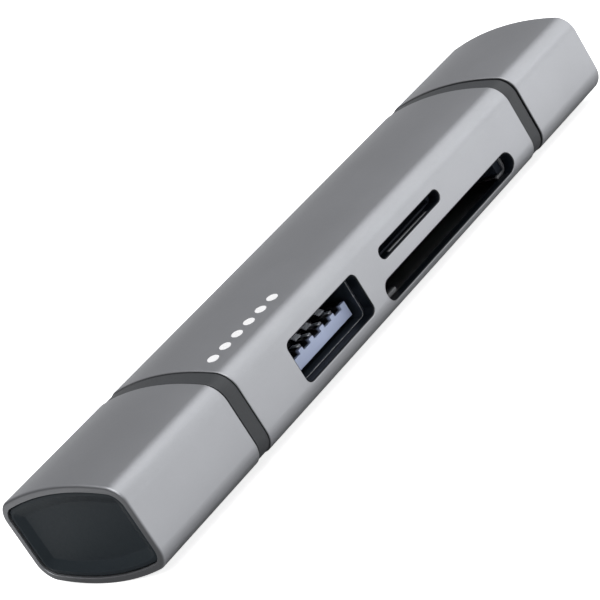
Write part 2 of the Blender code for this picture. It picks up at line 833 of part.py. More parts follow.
def build_sd_socket(steel, black, gold):
    """The SD socket, under the board: plastic roof, rails and back wall, steel cover below, and the
    contacts that press down on the card."""
    room, room_height = SD_CARD_ROOM
    depth = INSIDE_BACK_Y - SD_REAR_ROOM - SD_FRONT_Y
    half = room / 2 + SD_RAIL
    place = (SD_X, SD_FRONT_Y, SD_FLOOR_Z)
    frame = add_object(
        "sd_socket_frame",
        block((-half, half), (0, depth), (SEAM, room_height + SD_ROOF)),
        black,
        place=place,
    )
    cavity = helper(
        "sd_socket_cavity",
        block((-room / 2, room / 2), (-1, depth - SOCKET_BACK_WALL), (-1, room_height)),
        place=place,
    )
    combine(frame, "DIFFERENCE", cavity)
    wall = COVER_SHEET + SEAM
    cover = add_object(
        "sd_socket_cover",
        block((-half - wall, half + wall), (0.1, depth - 0.3), (-COVER_SHEET, room_height)),
        steel,
        place=place,
    )
    inside = helper(
        "sd_socket_cover_inside",
        block((-half - SEAM, half + SEAM), (-1, depth + 1), (0, room_height + 1)),
        place=place,
    )
    left_lip, right_lip, lip_depth = SD_LIPS
    cutout = helper(
        "sd_socket_cover_cutout",
        block((-half - wall + left_lip, half + wall - right_lip), (-1, lip_depth), (-1, 1)),
        place=place,
    )
    combine(cover, "DIFFERENCE", inside, cutout)
    touch_z = room_height - SEAM - CONTACT_SHEET / 2
    spring = [
        (4.2, touch_z - 0.35),
        (5.0, touch_z - 0.65),
        (6.2, touch_z - 0.4),
        (8.0, touch_z),
        (depth - SOCKET_BACK_WALL - SEAM, touch_z),
    ]
    for index in range(SD_CONTACTS):
        side = (index - (SD_CONTACTS - 1) / 2) * SD_PITCH
        add_object(
            f"sd_contact_{index + 1}",
            ribbon(spring, CONTACT_SHEET, CONTACT_WIDTH),
            gold,
            place=(SD_X + side, SD_FRONT_Y, SD_FLOOR_Z),
        )


def build_microsd_socket(steel, black, gold):
    """The microSD socket, on the board: plastic floor, rails and back wall, steel cover, and the contacts
    that press up on the card."""
    room, room_height = MICROSD_CARD_ROOM
    depth = INSIDE_BACK_Y - MICROSD_REAR_ROOM - SOCKET_FRONT_Y
    half = room / 2 + MICROSD_RAIL
    place = (MICROSD_X, SOCKET_FRONT_Y, MICROSD_FLOOR_Z)
    frame = add_object(
        "microsd_socket_frame",
        block((-half, half), (0, depth), (-MICROSD_FLOOR, room_height)),
        black,
        place=place,
    )
    cavity = helper(
        "microsd_socket_cavity",
        block((-room / 2, room / 2), (-1, depth - SOCKET_BACK_WALL), (0, room_height + 1)),
        place=place,
    )
    combine(frame, "DIFFERENCE", cavity)
    wall = COVER_SHEET + SEAM
    cover = add_object(
        "microsd_socket_cover",
        block(
            (-half - wall, half + wall),
            (0.1, depth - 0.3),
            (-MICROSD_FLOOR, room_height + wall),
        ),
        steel,
        place=place,
    )
    inside = helper(
        "microsd_socket_cover_inside",
        block((-half - SEAM, half + SEAM), (-1, depth + 1), (-2, room_height + SEAM)),
        place=place,
    )
    combine(cover, "DIFFERENCE", inside)
    rest_z = SEAM / 2 + CONTACT_SHEET / 2
    spring = [
        (4.0, rest_z + 0.3),
        (4.6, rest_z + 0.5),
        (5.4, rest_z + 0.3),
        (6.6, rest_z),
        (depth - SOCKET_BACK_WALL - SEAM, rest_z),
    ]
    for index in range(MICROSD_CONTACTS):
        side = (index - (MICROSD_CONTACTS - 1) / 2) * MICROSD_PITCH
        add_object(
            f"microsd_contact_{index + 1}",
            ribbon(spring, CONTACT_SHEET, MICROSD_CONTACT_WIDTH),
            gold,
            place=(MICROSD_X + side, SOCKET_FRONT_Y, MICROSD_FLOOR_Z),
        )


# ---------------------------------------------------------------- board


def build_board(green):
    """The board, notched from the front for the USB port, with its ends in the collars' slots."""
    left_x = USB_A_FACE_X + USB_A_RING + USB_A_TAIL + BOARD_END_GAP
    right_x = USB_C_FACE_X - USB_C_RING - USB_C_TAIL - BOARD_END_GAP
    board = add_object(
        "main_board",
        block(
            (left_x, right_x),
            (SOCKET_FRONT_Y + SEAM, INSIDE_BACK_Y - BOARD_EDGE_GAP),
            (BOARD_Z, BOARD_TOP_Z),
        ),
        green,
    )
    half = PORT_INSIDE[0] / 2 + SHEET + NOTCH_GAP
    notch = helper(
        "board_notch",
        block(
            (USB_X - half, USB_X + half),
            (FRONT_Y, INSIDE_BACK_Y - PORT_REAR_ROOM + NOTCH_GAP),
            (BOARD_Z - 1, BOARD_TOP_Z + 1),
        ),
    )
    combine(board, "DIFFERENCE", notch)
    return board


def build_chip(name, x, y, size, material):
    """A part soldered on top of the board, with its long edges bevelled."""
    width, depth, height = size
    chip = add_object(
        name,
        block((-width / 2, width / 2), (-depth / 2, depth / 2), (0, height)),
        material,
        place=(x, y, BOARD_TOP_Z + SEAM),
    )
    bevel = chip.modifiers.new("edge", "BEVEL")
    bevel.width = CHIP_BEVEL * MM
    bevel.segments = 1
    bevel.limit_method = "ANGLE"
    return chip


def build_board_parts(black, steel, ceramic):
    """What is soldered to the board: beside the microSD socket, and left of the USB port."""
    beside_x = MICROSD_X + MICROSD_CARD_ROOM[0] / 2 + MICROSD_RAIL
    build_chip("hub_controller", beside_x + 4.8, 2.6, (7.0, 7.0, 0.9), black)
    build_chip("card_reader_controller", beside_x + 11.3, 3.2, (5.0, 5.0, 0.8), black)
    build_chip("crystal", beside_x + 3.6, -4.6, (3.2, 2.5, 0.8), steel)
    build_chip("voltage_regulator", beside_x + 8.6, -4.6, (2.9, 1.6, 1.1), black)
    build_chip("power_inductor", USB_X + USB_CUT_WIDTH / 2 + 2.2, 0.0, (2.0, 2.5, 1.2), black)
    build_chip("bulk_capacitor", SLEEVE_LEFT_X + 5.3, 2.2, (1.6, 3.2, 1.6), ceramic)


def main():
    clear_scene()
    aluminium = make_material("grey_anodised_aluminium", (0.27, 0.27, 0.28), 0.38, 1.0)
    dark = make_material("dark_plastic", (0.035, 0.04, 0.043), 0.45, 0.0)
    black = make_material("black_plastic", (0.012, 0.013, 0.015), 0.5, 0.0)
    steel = make_material("bright_steel", (0.62, 0.62, 0.63), 0.25, 1.0)
    blue = make_material("blue_plastic", (0.11, 0.2, 0.55), 0.45, 0.0)
    gold = make_material("gold_contacts", (0.75, 0.55, 0.22), 0.25, 1.0)
    green = make_material("board_green", (0.02, 0.12, 0.05), 0.4, 0.0)
    ceramic = make_material("tan_ceramic", (0.45, 0.33, 0.2), 0.6, 0.0)

    build_sleeve(aluminium)
    build_fascia(black)

    usb_a_hole = rounded_rectangle(
        USB_A_PLUG[0] + 2 * SEAM, USB_A_PLUG[1] + 2 * SEAM, USB_A_PLUG_RADIUS + SEAM
    )
    usb_c_hole = stadium(USB_C_PLUG[0] + 2 * SEAM, USB_C_PLUG[1] + 2 * SEAM, 8)
    build_collar(
        "usb_a_collar", -1, USB_A_FACE_X, USB_A_RING, USB_A_NOSE, USB_A_REACH, usb_a_hole, dark
    )
    build_collar(
        "usb_c_collar", 1, USB_C_FACE_X, USB_C_RING, USB_C_NOSE, USB_C_REACH, usb_c_hole, dark
    )

    build_usb_a_plug(steel, blue, gold)
    build_usb_c_plug(steel, black)
    build_usb_port(steel, blue, gold)
    build_sd_socket(steel, black, gold)
    build_microsd_socket(steel, black, gold)
    build_board(green)
    build_board_parts(black, steel, ceramic)

    gap = 2 * PLUG_POCKET_GAP
    usb_a_pocket = rounded_rectangle(USB_A_PLUG[0] + gap, USB_A_PLUG[1] + gap, USB_A_PLUG_RADIUS)
    usb_c_pocket = stadium(USB_C_PLUG[0] + gap, USB_C_PLUG[1] + gap, 8)
    build_cap(
        "usb_a_cap",
        -1,
        USB_A_CAP_X,
        USB_A_CAP_LENGTH,
        USB_A_NOSE,
        USB_A_FACE_X - USB_A_NOSE - USB_A_EXPOSED,
        usb_a_pocket,
        aluminium,
        dark,
    )
    build_cap(
        "usb_c_cap",
        1,
        USB_C_CAP_X,
        USB_C_CAP_LENGTH,
        USB_C_NOSE,
        USB_C_FACE_X + USB_C_NOSE + USB_C_EXPOSED,
        usb_c_pocket,
        aluminium,
        dark,
    )


main()
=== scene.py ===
"""The looks of a pocket USB hub and card reader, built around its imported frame.

The frame holds the working solids: an aluminium sleeve with a USB port, a microSD slot and an SD slot in
its front, a plug at each end, and a pull-off cap over each plug. This script replaces what shows by finely
shaped pieces, dresses every piece in a procedural finish, and sets up the floor, the lights and the camera.

Sizes here are in millimetres unless a name says otherwise; meshes are written in metres.
"""

from __future__ import annotations

import logging  # noqa: E402
import math  # noqa: E402
from collections.abc import Callable, Iterable, Sequence  # noqa: E402
from dataclasses import dataclass, field, replace  # noqa: E402
from enum import Enum  # noqa: E402
from functools import lru_cache  # noqa: E402

import bmesh  # noqa: E402
import bpy  # noqa: E402
from mathutils import Matrix, Vector  # noqa: E402


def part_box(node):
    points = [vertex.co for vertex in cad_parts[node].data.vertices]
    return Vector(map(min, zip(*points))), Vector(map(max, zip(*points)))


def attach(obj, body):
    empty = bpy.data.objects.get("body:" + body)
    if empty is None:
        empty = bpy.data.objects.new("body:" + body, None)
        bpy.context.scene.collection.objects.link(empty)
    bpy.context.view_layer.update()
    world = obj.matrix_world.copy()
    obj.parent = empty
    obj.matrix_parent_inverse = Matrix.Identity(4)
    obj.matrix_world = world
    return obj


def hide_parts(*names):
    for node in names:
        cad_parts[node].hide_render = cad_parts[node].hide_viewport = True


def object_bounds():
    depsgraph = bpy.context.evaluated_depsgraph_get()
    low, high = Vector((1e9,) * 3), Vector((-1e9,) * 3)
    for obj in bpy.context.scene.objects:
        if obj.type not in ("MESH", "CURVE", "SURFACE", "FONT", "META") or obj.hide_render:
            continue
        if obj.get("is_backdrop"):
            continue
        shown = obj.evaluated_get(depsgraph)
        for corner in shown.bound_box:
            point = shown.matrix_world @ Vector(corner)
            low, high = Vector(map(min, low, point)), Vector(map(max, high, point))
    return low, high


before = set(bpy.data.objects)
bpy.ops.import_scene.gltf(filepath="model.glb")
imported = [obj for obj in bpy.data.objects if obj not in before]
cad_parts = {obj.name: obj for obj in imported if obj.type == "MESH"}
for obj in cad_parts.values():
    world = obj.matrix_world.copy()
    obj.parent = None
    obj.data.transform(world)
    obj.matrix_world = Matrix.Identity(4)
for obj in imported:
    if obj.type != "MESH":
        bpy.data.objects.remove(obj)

MM = 0.001
SEAM = 0.05  # the gap between pieces that are pressed together
SLEEVE_WALL = 1.0
CUT_PAST = 1.0  # how far a cutter reaches past what it cuts
LEAST_RADIUS = 0.02
LEAST_FLAT = 0.01  # what a round end leaves straight, so that no two points fall together
PAD_EDGE = 0.04  # the rounding of flat contacts and solder joints
STRIP_EDGE = 0.03  # the rounding of thin contact strips
LOG = logging.getLogger("pocket_hub")

Point = tuple[float, float]
Colour = tuple[float, float, float]
OutlineAt = Callable[[float], list[Point]]
Socket = bpy.types.NodeSocket


# ------------------------------------------------------------------ choices


class End(Enum):
    """The two ends of the hub, named after their plugs."""

    USB_A = "usb_a"
    USB_C = "usb_c"

    @property
    def sign(self) -> int:
        """Which way this end points along X."""
        return -1 if self is End.USB_A else 1

    @property
    def cap_body(self) -> str:
        """The body that this end's cap slides with."""
        return f"{self.value}_cap"


class Axis(Enum):
    """The axis that a swept piece runs along."""

    X = "x"
    Y = "y"
    Z = "z"

    def place(self, along: float, u: float, v: float) -> Vector:
        """The point that lies at (u, v) across the axis and at this distance along it."""
        return Vector({"x": (along, u, v), "y": (u, along, v), "z": (u, v, along)}[self.value])


class Slot(Enum):
    """The record's material slots."""

    SLEEVE = "sleeve_aluminium"
    DARK = "dark_plastic"
    BLACK = "black_plastic"
    STEEL = "steel"
    TONGUE = "tongue_plastic"
    GOLD = "contact_gold"
    BOARD = "circuit_board"
    CHIP = "chip_black"
    CERAMIC = "ceramic"


# ------------------------------------------------------------------ node groups for finishes


class Nodes:
    """Adds nodes to one node tree, and wires them."""

    def __init__(self, tree: bpy.types.NodeTree) -> None:
        """Starts on a tree.

        Args:
            tree: the tree that the nodes go into.
        """
        self.tree = tree

    def add(self, kind: str, **settings: object) -> bpy.types.Node:
        """Adds a node.

        Args:
            kind: the node's class name.
            settings: its properties, and values for its inputs by name with spaces as underscores.

        Returns:
            The new node.
        """
        node = self.tree.nodes.new(kind)
        for name, value in settings.items():
            if hasattr(node, name):
                setattr(node, name, value)
            else:
                node.inputs[name.replace("_", " ")].default_value = value
        return node

    def link(self, source: Socket, target: Socket) -> None:
        """Joins an output to an input."""
        self.tree.links.new(source, target)

    def math(self, operation: str, first: Socket | float, second: Socket | float = 0.0) -> Socket:
        """A sum of two values, each of which is a number or another node's output.

        Args:
            operation: Blender's name of the operation.
            first: the first value.
            second: the second value.

        Returns:
            The output that carries the result.
        """
        node = self.add("ShaderNodeMath", operation=operation)
        for index, value in enumerate((first, second)):
            if isinstance(value, bpy.types.NodeSocket):
                self.link(value, node.inputs[index])
            else:
                node.inputs[index].default_value = value
        return node.outputs[0]

    def remap(self, value: Socket, source: Point, target: Point) -> Socket:
        """Maps a value from one range to another, clamped.

        Args:
            value: the output to map.
            source: the range that it comes in.
            target: the range that it leaves in.

        Returns:
            The output that carries the result.
        """
        node = self.add("ShaderNodeMapRange")
        self.link(value, node.inputs["Value"])
        names = ("From Min", "From Max", "To Min", "To Max")
        for name, number in zip(names, (*source, *target)):
            node.inputs[name].default_value = number
        return node.outputs["Result"]

    def blend(self, mask: Socket, low: Colour | Socket, high: Colour) -> Socket:
        """Mixes two colours by a mask.

        Args:
            mask: 0 gives low, and 1 gives high.
            low: a colour, or an output that carries one.
            high: a colour.

        Returns:
            The output that carries the mix.
        """
        node = self.add("ShaderNodeMix", data_type="RGBA")
        self.link(mask, node.inputs["Factor"])
        if isinstance(low, bpy.types.NodeSocket):
            self.link(low, node.inputs[6])
        else:
            node.inputs[6].default_value = (*low, 1.0)
        node.inputs[7].default_value = (*high, 1.0)
        return node.outputs[2]


def new_group(name: str, inputs: dict[str, float], outputs: Sequence[str]) -> tuple[Nodes, dict, dict]:
    """Starts a shader node group with named number inputs and outputs.

    Args:
        name: the group's name.
        inputs: each input's name and its value if nothing is given.
        outputs: the outputs' names.

    Returns:
        The group's nodes, its inputs by name and the sockets that its outputs are wired to by name.
    """
    tree = bpy.data.node_groups.new(name, "ShaderNodeTree")
    for title, value in inputs.items():
        socket = tree.interface.new_socket(name=title, in_out="INPUT", socket_type="NodeSocketFloat")
        socket.default_value = value
    for title in outputs:
        tree.interface.new_socket(name=title, in_out="OUTPUT", socket_type="NodeSocketFloat")
    nodes = Nodes(tree)
    enter, leave = nodes.add("NodeGroupInput"), nodes.add("NodeGroupOutput")
    given = {title: enter.outputs[title] for title in inputs}
    wanted = {title: leave.inputs[title] for title in outputs}
    return nodes, given, wanted


def object_place(nodes: Nodes) -> Socket:
    """The surface point's place on its piece, in metres."""
    return nodes.add("ShaderNodeTexCoord").outputs["Object"]


@lru_cache
def grain_group() -> bpy.types.NodeTree:
    """Fine even grain in two sizes, for blasted metal and moulded plastic."""
    nodes, given, wanted = new_group("surface_grain", {"Grain per metre": 9000.0}, ("Height", "Cloud"))
    place = object_place(nodes)
    fine = nodes.add("ShaderNodeTexNoise", Detail=2.0, Roughness=0.6)
    coarse = nodes.add("ShaderNodeTexNoise", Detail=3.0, Roughness=0.55)
    for noise, share in ((fine, 1.0), (coarse, 0.3)):
        nodes.link(place, noise.inputs["Vector"])
        nodes.link(nodes.math("MULTIPLY", given["Grain per metre"], share), noise.inputs["Scale"])
    cloud = nodes.add("ShaderNodeTexNoise", Detail=3.0, Roughness=0.5)
    nodes.link(place, cloud.inputs["Vector"])
    nodes.link(nodes.math("MULTIPLY", given["Grain per metre"], 0.012), cloud.inputs["Scale"])
    fine_part = nodes.math("MULTIPLY", fine.outputs["Fac"], 0.65)
    coarse_part = nodes.math("MULTIPLY", coarse.outputs["Fac"], 0.35)
    nodes.link(nodes.math("ADD", fine_part, coarse_part), wanted["Height"])
    nodes.link(cloud.outputs["Fac"], wanted["Cloud"])
    return nodes.tree


@lru_cache
def scratch_group() -> bpy.types.NodeTree:
    """Thin lines drawn out along the piece's length, as rolling and handling leave."""
    nodes, given, wanted = new_group(
        "drawn_scratches", {"Lines per metre": 9000.0, "Stretch": 40.0}, ("Lines", "Streak")
    )
    split = nodes.add("ShaderNodeSeparateXYZ")
    nodes.link(object_place(nodes), split.inputs[0])
    joined = nodes.add("ShaderNodeCombineXYZ")
    nodes.link(nodes.math("DIVIDE", split.outputs["X"], given["Stretch"]), joined.inputs["X"])
    nodes.link(split.outputs["Y"], joined.inputs["Y"])
    nodes.link(split.outputs["Z"], joined.inputs["Z"])
    lines = nodes.add("ShaderNodeTexNoise", Detail=4.0, Roughness=0.6)
    streak = nodes.add("ShaderNodeTexNoise", Detail=2.0)
    for noise, share in ((lines, 1.0), (streak, 0.12)):
        nodes.link(joined.outputs[0], noise.inputs["Vector"])
        nodes.link(nodes.math("MULTIPLY", given["Lines per metre"], share), noise.inputs["Scale"])
    nodes.link(lines.outputs["Fac"], wanted["Lines"])
    nodes.link(streak.outputs["Fac"], wanted["Streak"])
    return nodes.tree


@lru_cache
def edge_group() -> bpy.types.NodeTree:
    """A mask of the edges that hands and pockets rub, 1 on a sharp outer edge and 0 on a flat; on the port
    shell it paints a highlight.
    """
    nodes, given, wanted = new_group("edge_wear_and_glint", {"Reach": 0.0002, "Breakup": 2500.0}, ("Mask",))
    rounded = nodes.add("ShaderNodeBevel", samples=4)
    nodes.link(given["Reach"], rounded.inputs["Radius"])
    surface = nodes.add("ShaderNodeNewGeometry")
    dot = nodes.add("ShaderNodeVectorMath", operation="DOT_PRODUCT")
    nodes.link(rounded.outputs[0], dot.inputs[0])
    nodes.link(surface.outputs["Normal"], dot.inputs[1])
    edge = nodes.remap(dot.outputs["Value"], (0.99, 0.85), (0.0, 1.0))
    noise = nodes.add("ShaderNodeTexNoise", Detail=3.0)
    nodes.link(object_place(nodes), noise.inputs["Vector"])
    nodes.link(given["Breakup"], noise.inputs["Scale"])
    patchy = nodes.remap(noise.outputs["Fac"], (0.35, 0.65), (0.35, 1.0))
    nodes.link(nodes.math("MULTIPLY", edge, patchy), wanted["Mask"])
    return nodes.tree


@lru_cache
def dust_group() -> bpy.types.NodeTree:
    """A mask of the dust that settles on faces that look up."""
    nodes, given, wanted = new_group("settled_dust", {"Specks per metre": 3500.0}, ("Mask",))
    surface = nodes.add("ShaderNodeNewGeometry")
    split = nodes.add("ShaderNodeSeparateXYZ")
    nodes.link(surface.outputs["Normal"], split.inputs[0])
    upward = nodes.remap(split.outputs["Z"], (0.2, 1.0), (0.15, 1.0))
    specks = nodes.add("ShaderNodeTexVoronoi", feature="F1")
    nodes.link(object_place(nodes), specks.inputs["Vector"])
    nodes.link(given["Specks per metre"], specks.inputs["Scale"])
    dots = nodes.remap(specks.outputs["Distance"], (0.16, 0.05), (0.0, 1.0))
    nodes.link(nodes.math("MULTIPLY", dots, upward), wanted["Mask"])
    return nodes.tree


# ------------------------------------------------------------------ finishes


@dataclass(frozen=True)
class Finish:
    """One finish: what its surface looks like, and how its colour and gloss vary over it."""

    name: str
    colour: Colour
    roughness: float
    metallic: float = 0.0
    cloud: float = 0.06
    grain_size: float = 0.11
    grain_depth: float = 0.012
    gloss_change: float = 0.05
    drawn: bool = False
    # edge colour and its reach: wear on most finishes, a painted highlight on the port shell
    wear_and_glint: Colour | None = None
    wear_and_glint_reach: float = 0.18
    dusty: float = 0.0
    coat: float = 0.0
    specular: float = 0.5
    # painted shade on the faces that look along X
    end_shade_colour: Colour | None = None
    # painted shade that darkens a piece with depth along Y: the two depths, then the darkest colour
    depth_shade: Point | None = None
    depth_shade_colour: Colour = (0.01, 0.01, 0.014)

    def material(self) -> bpy.types.Material:
        """This finish's material, made at its first use."""
        found = bpy.data.materials.get(self.name)
        return found or self._make()

    def _make(self) -> bpy.types.Material:
        """Builds the material's nodes.

        Returns:
            The new material.
        """
        material = bpy.data.materials.new(self.name)
        material.use_nodes = True
        nodes = Nodes(material.node_tree)
        shader = material.node_tree.nodes["Principled BSDF"]
        shader.inputs["Metallic"].default_value = self.metallic
        shader.inputs["Specular IOR Level"].default_value = self.specular
        shader.inputs["Coat Weight"].default_value = self.coat
        shader.inputs["Coat Roughness"].default_value = 0.25
        height, cloud = self._relief(nodes)
        lighter = tuple(min(1.0, value * (1 + self.cloud)) for value in self.colour)
        darker = tuple(value * (1 - self.cloud) for value in self.colour)
        colour = nodes.blend(nodes.remap(cloud, (0.35, 0.65), (0.0, 1.0)), darker, lighter)
        low, high = self.roughness - self.gloss_change, self.roughness + self.gloss_change
        rough = nodes.remap(height, (0.3, 0.7), (low, high))
        # painted shade: the faces that look along X are darkened
        if self.end_shade_colour:
            colour = nodes.blend(self._end_shade_mask(nodes), colour, self.end_shade_colour)
        # painted shade: the colour darkens with depth along Y
        if self.depth_shade:
            colour = nodes.blend(self._depth_shade_mask(nodes), colour, self.depth_shade_colour)
        # edge colour: wear on most finishes, a painted highlight on the port shell
        if self.wear_and_glint:
            edge = self._placed(nodes, edge_group(), {"Reach": self.wear_and_glint_reach * MM})
            colour = nodes.blend(edge.outputs["Mask"], colour, self.wear_and_glint)
        if self.dusty:
            dust = self._placed(nodes, dust_group(), {})
            mask = nodes.math("MULTIPLY", dust.outputs["Mask"], self.dusty)
            colour = nodes.blend(mask, colour, (0.62, 0.6, 0.57))
            rough = nodes.math("ADD", rough, nodes.math("MULTIPLY", mask, 0.3))
        nodes.link(colour, shader.inputs["Base Color"])
        nodes.link(rough, shader.inputs["Roughness"])
        bump = nodes.add("ShaderNodeBump", Strength=1.0, Distance=self.grain_depth * MM)
        nodes.link(height, bump.inputs["Height"])
        nodes.link(bump.outputs["Normal"], shader.inputs["Normal"])
        return material

    def _relief(self, nodes: Nodes) -> tuple[Socket, Socket]:
        """The height of the surface's relief, and the slow change of its colour."""
        per_metre = 1.0 / (self.grain_size * MM)
        if self.drawn:
            group = self._placed(nodes, scratch_group(), {"Lines per metre": per_metre})
            return group.outputs["Lines"], group.outputs["Streak"]
        group = self._placed(nodes, grain_group(), {"Grain per metre": per_metre})
        return group.outputs["Height"], group.outputs["Cloud"]

    @staticmethod
    def _end_shade_mask(nodes: Nodes) -> Socket:
        """A painted shade mask: 1 on the cut faces that look along X, and 0 on the sides."""
        split = nodes.add("ShaderNodeSeparateXYZ")
        nodes.link(nodes.add("ShaderNodeNewGeometry").outputs["Normal"], split.inputs[0])
        return nodes.remap(nodes.math("ABSOLUTE", split.outputs["X"]), (0.25, 0.85), (0.0, 1.0))

    def _depth_shade_mask(self, nodes: Nodes) -> Socket:
        """A painted shade mask: 0 in front of the first depth, and 1 past the second, in millimetres along Y.
        """
        split = nodes.add("ShaderNodeSeparateXYZ")
        nodes.link(object_place(nodes), split.inputs[0])
        start, end = self.depth_shade
        return nodes.remap(split.outputs["Y"], (start * MM, end * MM), (0.0, 1.0))

    @staticmethod
    def _placed(nodes: Nodes, tree: bpy.types.NodeTree, values: dict[str, float]) -> bpy.types.Node:
        """Puts a node group into a material, with its own values."""
        group = nodes.add("ShaderNodeGroup", node_tree=tree)
        for name, value in values.items():
            group.inputs[name].default_value = value
        return group


ALUMINIUM = Finish(
    "blasted_grey_aluminium",
    (0.4, 0.408, 0.428),
    0.43,
    metallic=1.0,
    cloud=0.03,
    grain_size=0.13,
    grain_depth=0.009,
    gloss_change=0.05,
    wear_and_glint=(0.48, 0.485, 0.5),
    wear_and_glint_reach=0.1,
    dusty=0.12,
    # painted shade on the end faces
    end_shade_colour=(0.17, 0.174, 0.182),
)
RING_PLASTIC = Finish(
    "ring_plastic", (0.031, 0.0335, 0.037), 0.48, grain_size=0.16, wear_and_glint=(0.06, 0.062, 0.066), specular=0.42
)
END_PLASTIC = Finish("end_plastic", (0.0085, 0.0135, 0.0175), 0.5, grain_size=0.14, dusty=0.03, specular=0.16)
BLACK_PLASTIC = Finish("port_black_plastic", (0.0035, 0.005, 0.0075), 0.42, grain_size=0.12, specular=0.16)
SOCKET_PLASTIC = Finish("socket_plastic", (0.02, 0.026, 0.038), 0.5, grain_size=0.1, cloud=0.1, specular=0.3)
ROLLED = {"grain_size": 0.07, "grain_depth": 0.003, "gloss_change": 0.08, "drawn": True}
STEEL = Finish(
    "plated_steel",
    (0.6, 0.6, 0.615),
    0.24,
    metallic=1.0,
    cloud=0.05,
    wear_and_glint=(0.8, 0.8, 0.8),
    wear_and_glint_reach=0.08,
    **ROLLED,
)
DARK_STEEL = Finish("socket_steel", (0.36, 0.36, 0.375), 0.34, metallic=1.0, **ROLLED)
# painted shade and painted highlight: the shell is near black, and its sharp edges are painted white
SHADED_PORT_STEEL = Finish(
    "port_steel_painted_shade",
    (0.03, 0.038, 0.052),
    0.4,
    metallic=0.4,
    cloud=0.1,
    wear_and_glint=(1.0, 1.0, 1.0),
    wear_and_glint_reach=0.14,
    **ROLLED,
)
LIP_STEEL = Finish("satin_steel", (0.21, 0.215, 0.225), 0.55, metallic=0.3, **ROLLED)
TONGUE_PLASTIC = Finish("tongue_plastic", (0.52, 0.6, 0.82), 0.38, grain_size=0.09, grain_depth=0.004)
PLATED = {"grain_size": 0.05, "grain_depth": 0.002, "gloss_change": 0.06, "drawn": True}
GOLD = Finish(
    "gold_plating",
    (0.83, 0.6, 0.27),
    0.22,
    metallic=1.0,
    cloud=0.05,
    wear_and_glint=(0.9, 0.72, 0.42),
    wear_and_glint_reach=0.05,
    **PLATED,
)
SPRING_METAL = Finish("spring_plating", (0.8, 0.84, 0.9), 0.42, metallic=0.35, **PLATED)
BOARD_LACQUER = Finish("board_lacquer", (0.016, 0.11, 0.045), 0.3, grain_size=0.5, cloud=0.2, coat=0.4)
CHIP_EPOXY = Finish("chip_epoxy", (0.02, 0.02, 0.022), 0.55, grain_size=0.07, grain_depth=0.006)
CERAMIC = Finish("capacitor_ceramic", (0.42, 0.3, 0.17), 0.55, grain_size=0.09, cloud=0.12)
TIN = Finish("tinned_metal", (0.66, 0.66, 0.64), 0.35, metallic=1.0, grain_size=0.1, grain_depth=0.006)
WHITE_INK = Finish("white_ink", (0.74, 0.74, 0.745), 0.55, grain_size=0.1, grain_depth=0.004, cloud=0.02)


# ------------------------------------------------------------------ shapes


def rounded_rectangle(width: float, height: float, radius: float, steps: int = 10) -> list[Point]:
    """Points round a rectangle with round corners, centred on (0, 0).

    Args:
        width: its size along the first axis.
        height: its size along the second axis.
        radius: its corners' radius.
        steps: the flats that each corner is made of.

    Returns:
        The points, anticlockwise.
    """
    points = []
    for quarter, (side, end) in enumerate(((1, 1), (-1, 1), (-1, -1), (1, -1))):
        centre = (side * (width / 2 - radius), end * (height / 2 - radius))
        for step in range(steps + 1):
            angle = math.pi / 2 * (quarter + step / steps)
            points.append((centre[0] + radius * math.cos(angle), centre[1] + radius * math.sin(angle)))
    return points


def rounded_family(width: float, height: float, radius: float, steps: int = 10) -> OutlineAt:
    """Gives, for an inset, that rounded rectangle moved in by it."""
    return lambda inset: rounded_rectangle(
        width - 2 * inset, height - 2 * inset, max(radius - inset, LEAST_RADIUS), steps
    )


def filleted(corners: Sequence[tuple[float, float, float]], closed: bool, steps: int = 5) -> list[Point]:
    """A path with its corners rounded.

    Args:
        corners: the two coordinates and the radius of each corner.
        closed: whether the last corner joins the first.
        steps: the flats that each round corner is made of.

    Returns:
        The points of the path.
    """
    points: list[Point] = []
    last = len(corners) - 1
    for index, (a, b, radius) in enumerate(corners):
        if radius <= 0 or (not closed and index in (0, last)):
            points.append((a, b))
            continue
        here = Vector((a, b))
        before = (Vector(corners[index - 1][:2]) - here).normalized()
        after = (Vector(corners[(index + 1) % len(corners)][:2]) - here).normalized()
        half = before.angle(after) / 2
        reach = radius / math.tan(half)
        centre = here + (before + after).normalized() * (radius / math.sin(half))
        start = here + before * reach - centre
        end = here + after * reach - centre
        turn = math.atan2(start.x * end.y - start.y * end.x, start.dot(end))
        first = math.atan2(start.y, start.x)
        for step in range(steps + 1):
            angle = first + turn * step / steps
            points.append((centre.x + radius * math.cos(angle), centre.y + radius * math.sin(angle)))
    return points


def quarter_round(radius: float, steps: int) -> list[Point]:
    """The section of a rounded edge.

    Args:
        radius: the edge's radius.
        steps: the flats that it is made of.

    Returns:
        (depth under the outer face, distance out from the wall) points, from the wall to the face.
    """
    angles = [math.pi / 2 * step / steps for step in range(steps + 1)]
    return [(radius * (1 - math.sin(angle)), radius * (1 - math.cos(angle))) for angle in angles]


def skin(bm: bmesh.types.BMesh, loops: Sequence[list[bmesh.types.BMVert]], capped: bool = True) -> None:
    """Joins each loop of points to the next by a band of faces.

    Args:
        bm: the mesh that the loops are in.
        loops: the loops, which all have as many points.
        capped: closes the first and the last loop by a face.
    """
    for first, second in zip(loops, loops[1:]):
        for index, vert in enumerate(first):
            after = (index + 1) % len(first)
            bm.faces.new((vert, first[after], second[after], second[index]))
    if capped:
        bm.faces.new(loops[0][::-1])
        bm.faces.new(loops[-1])


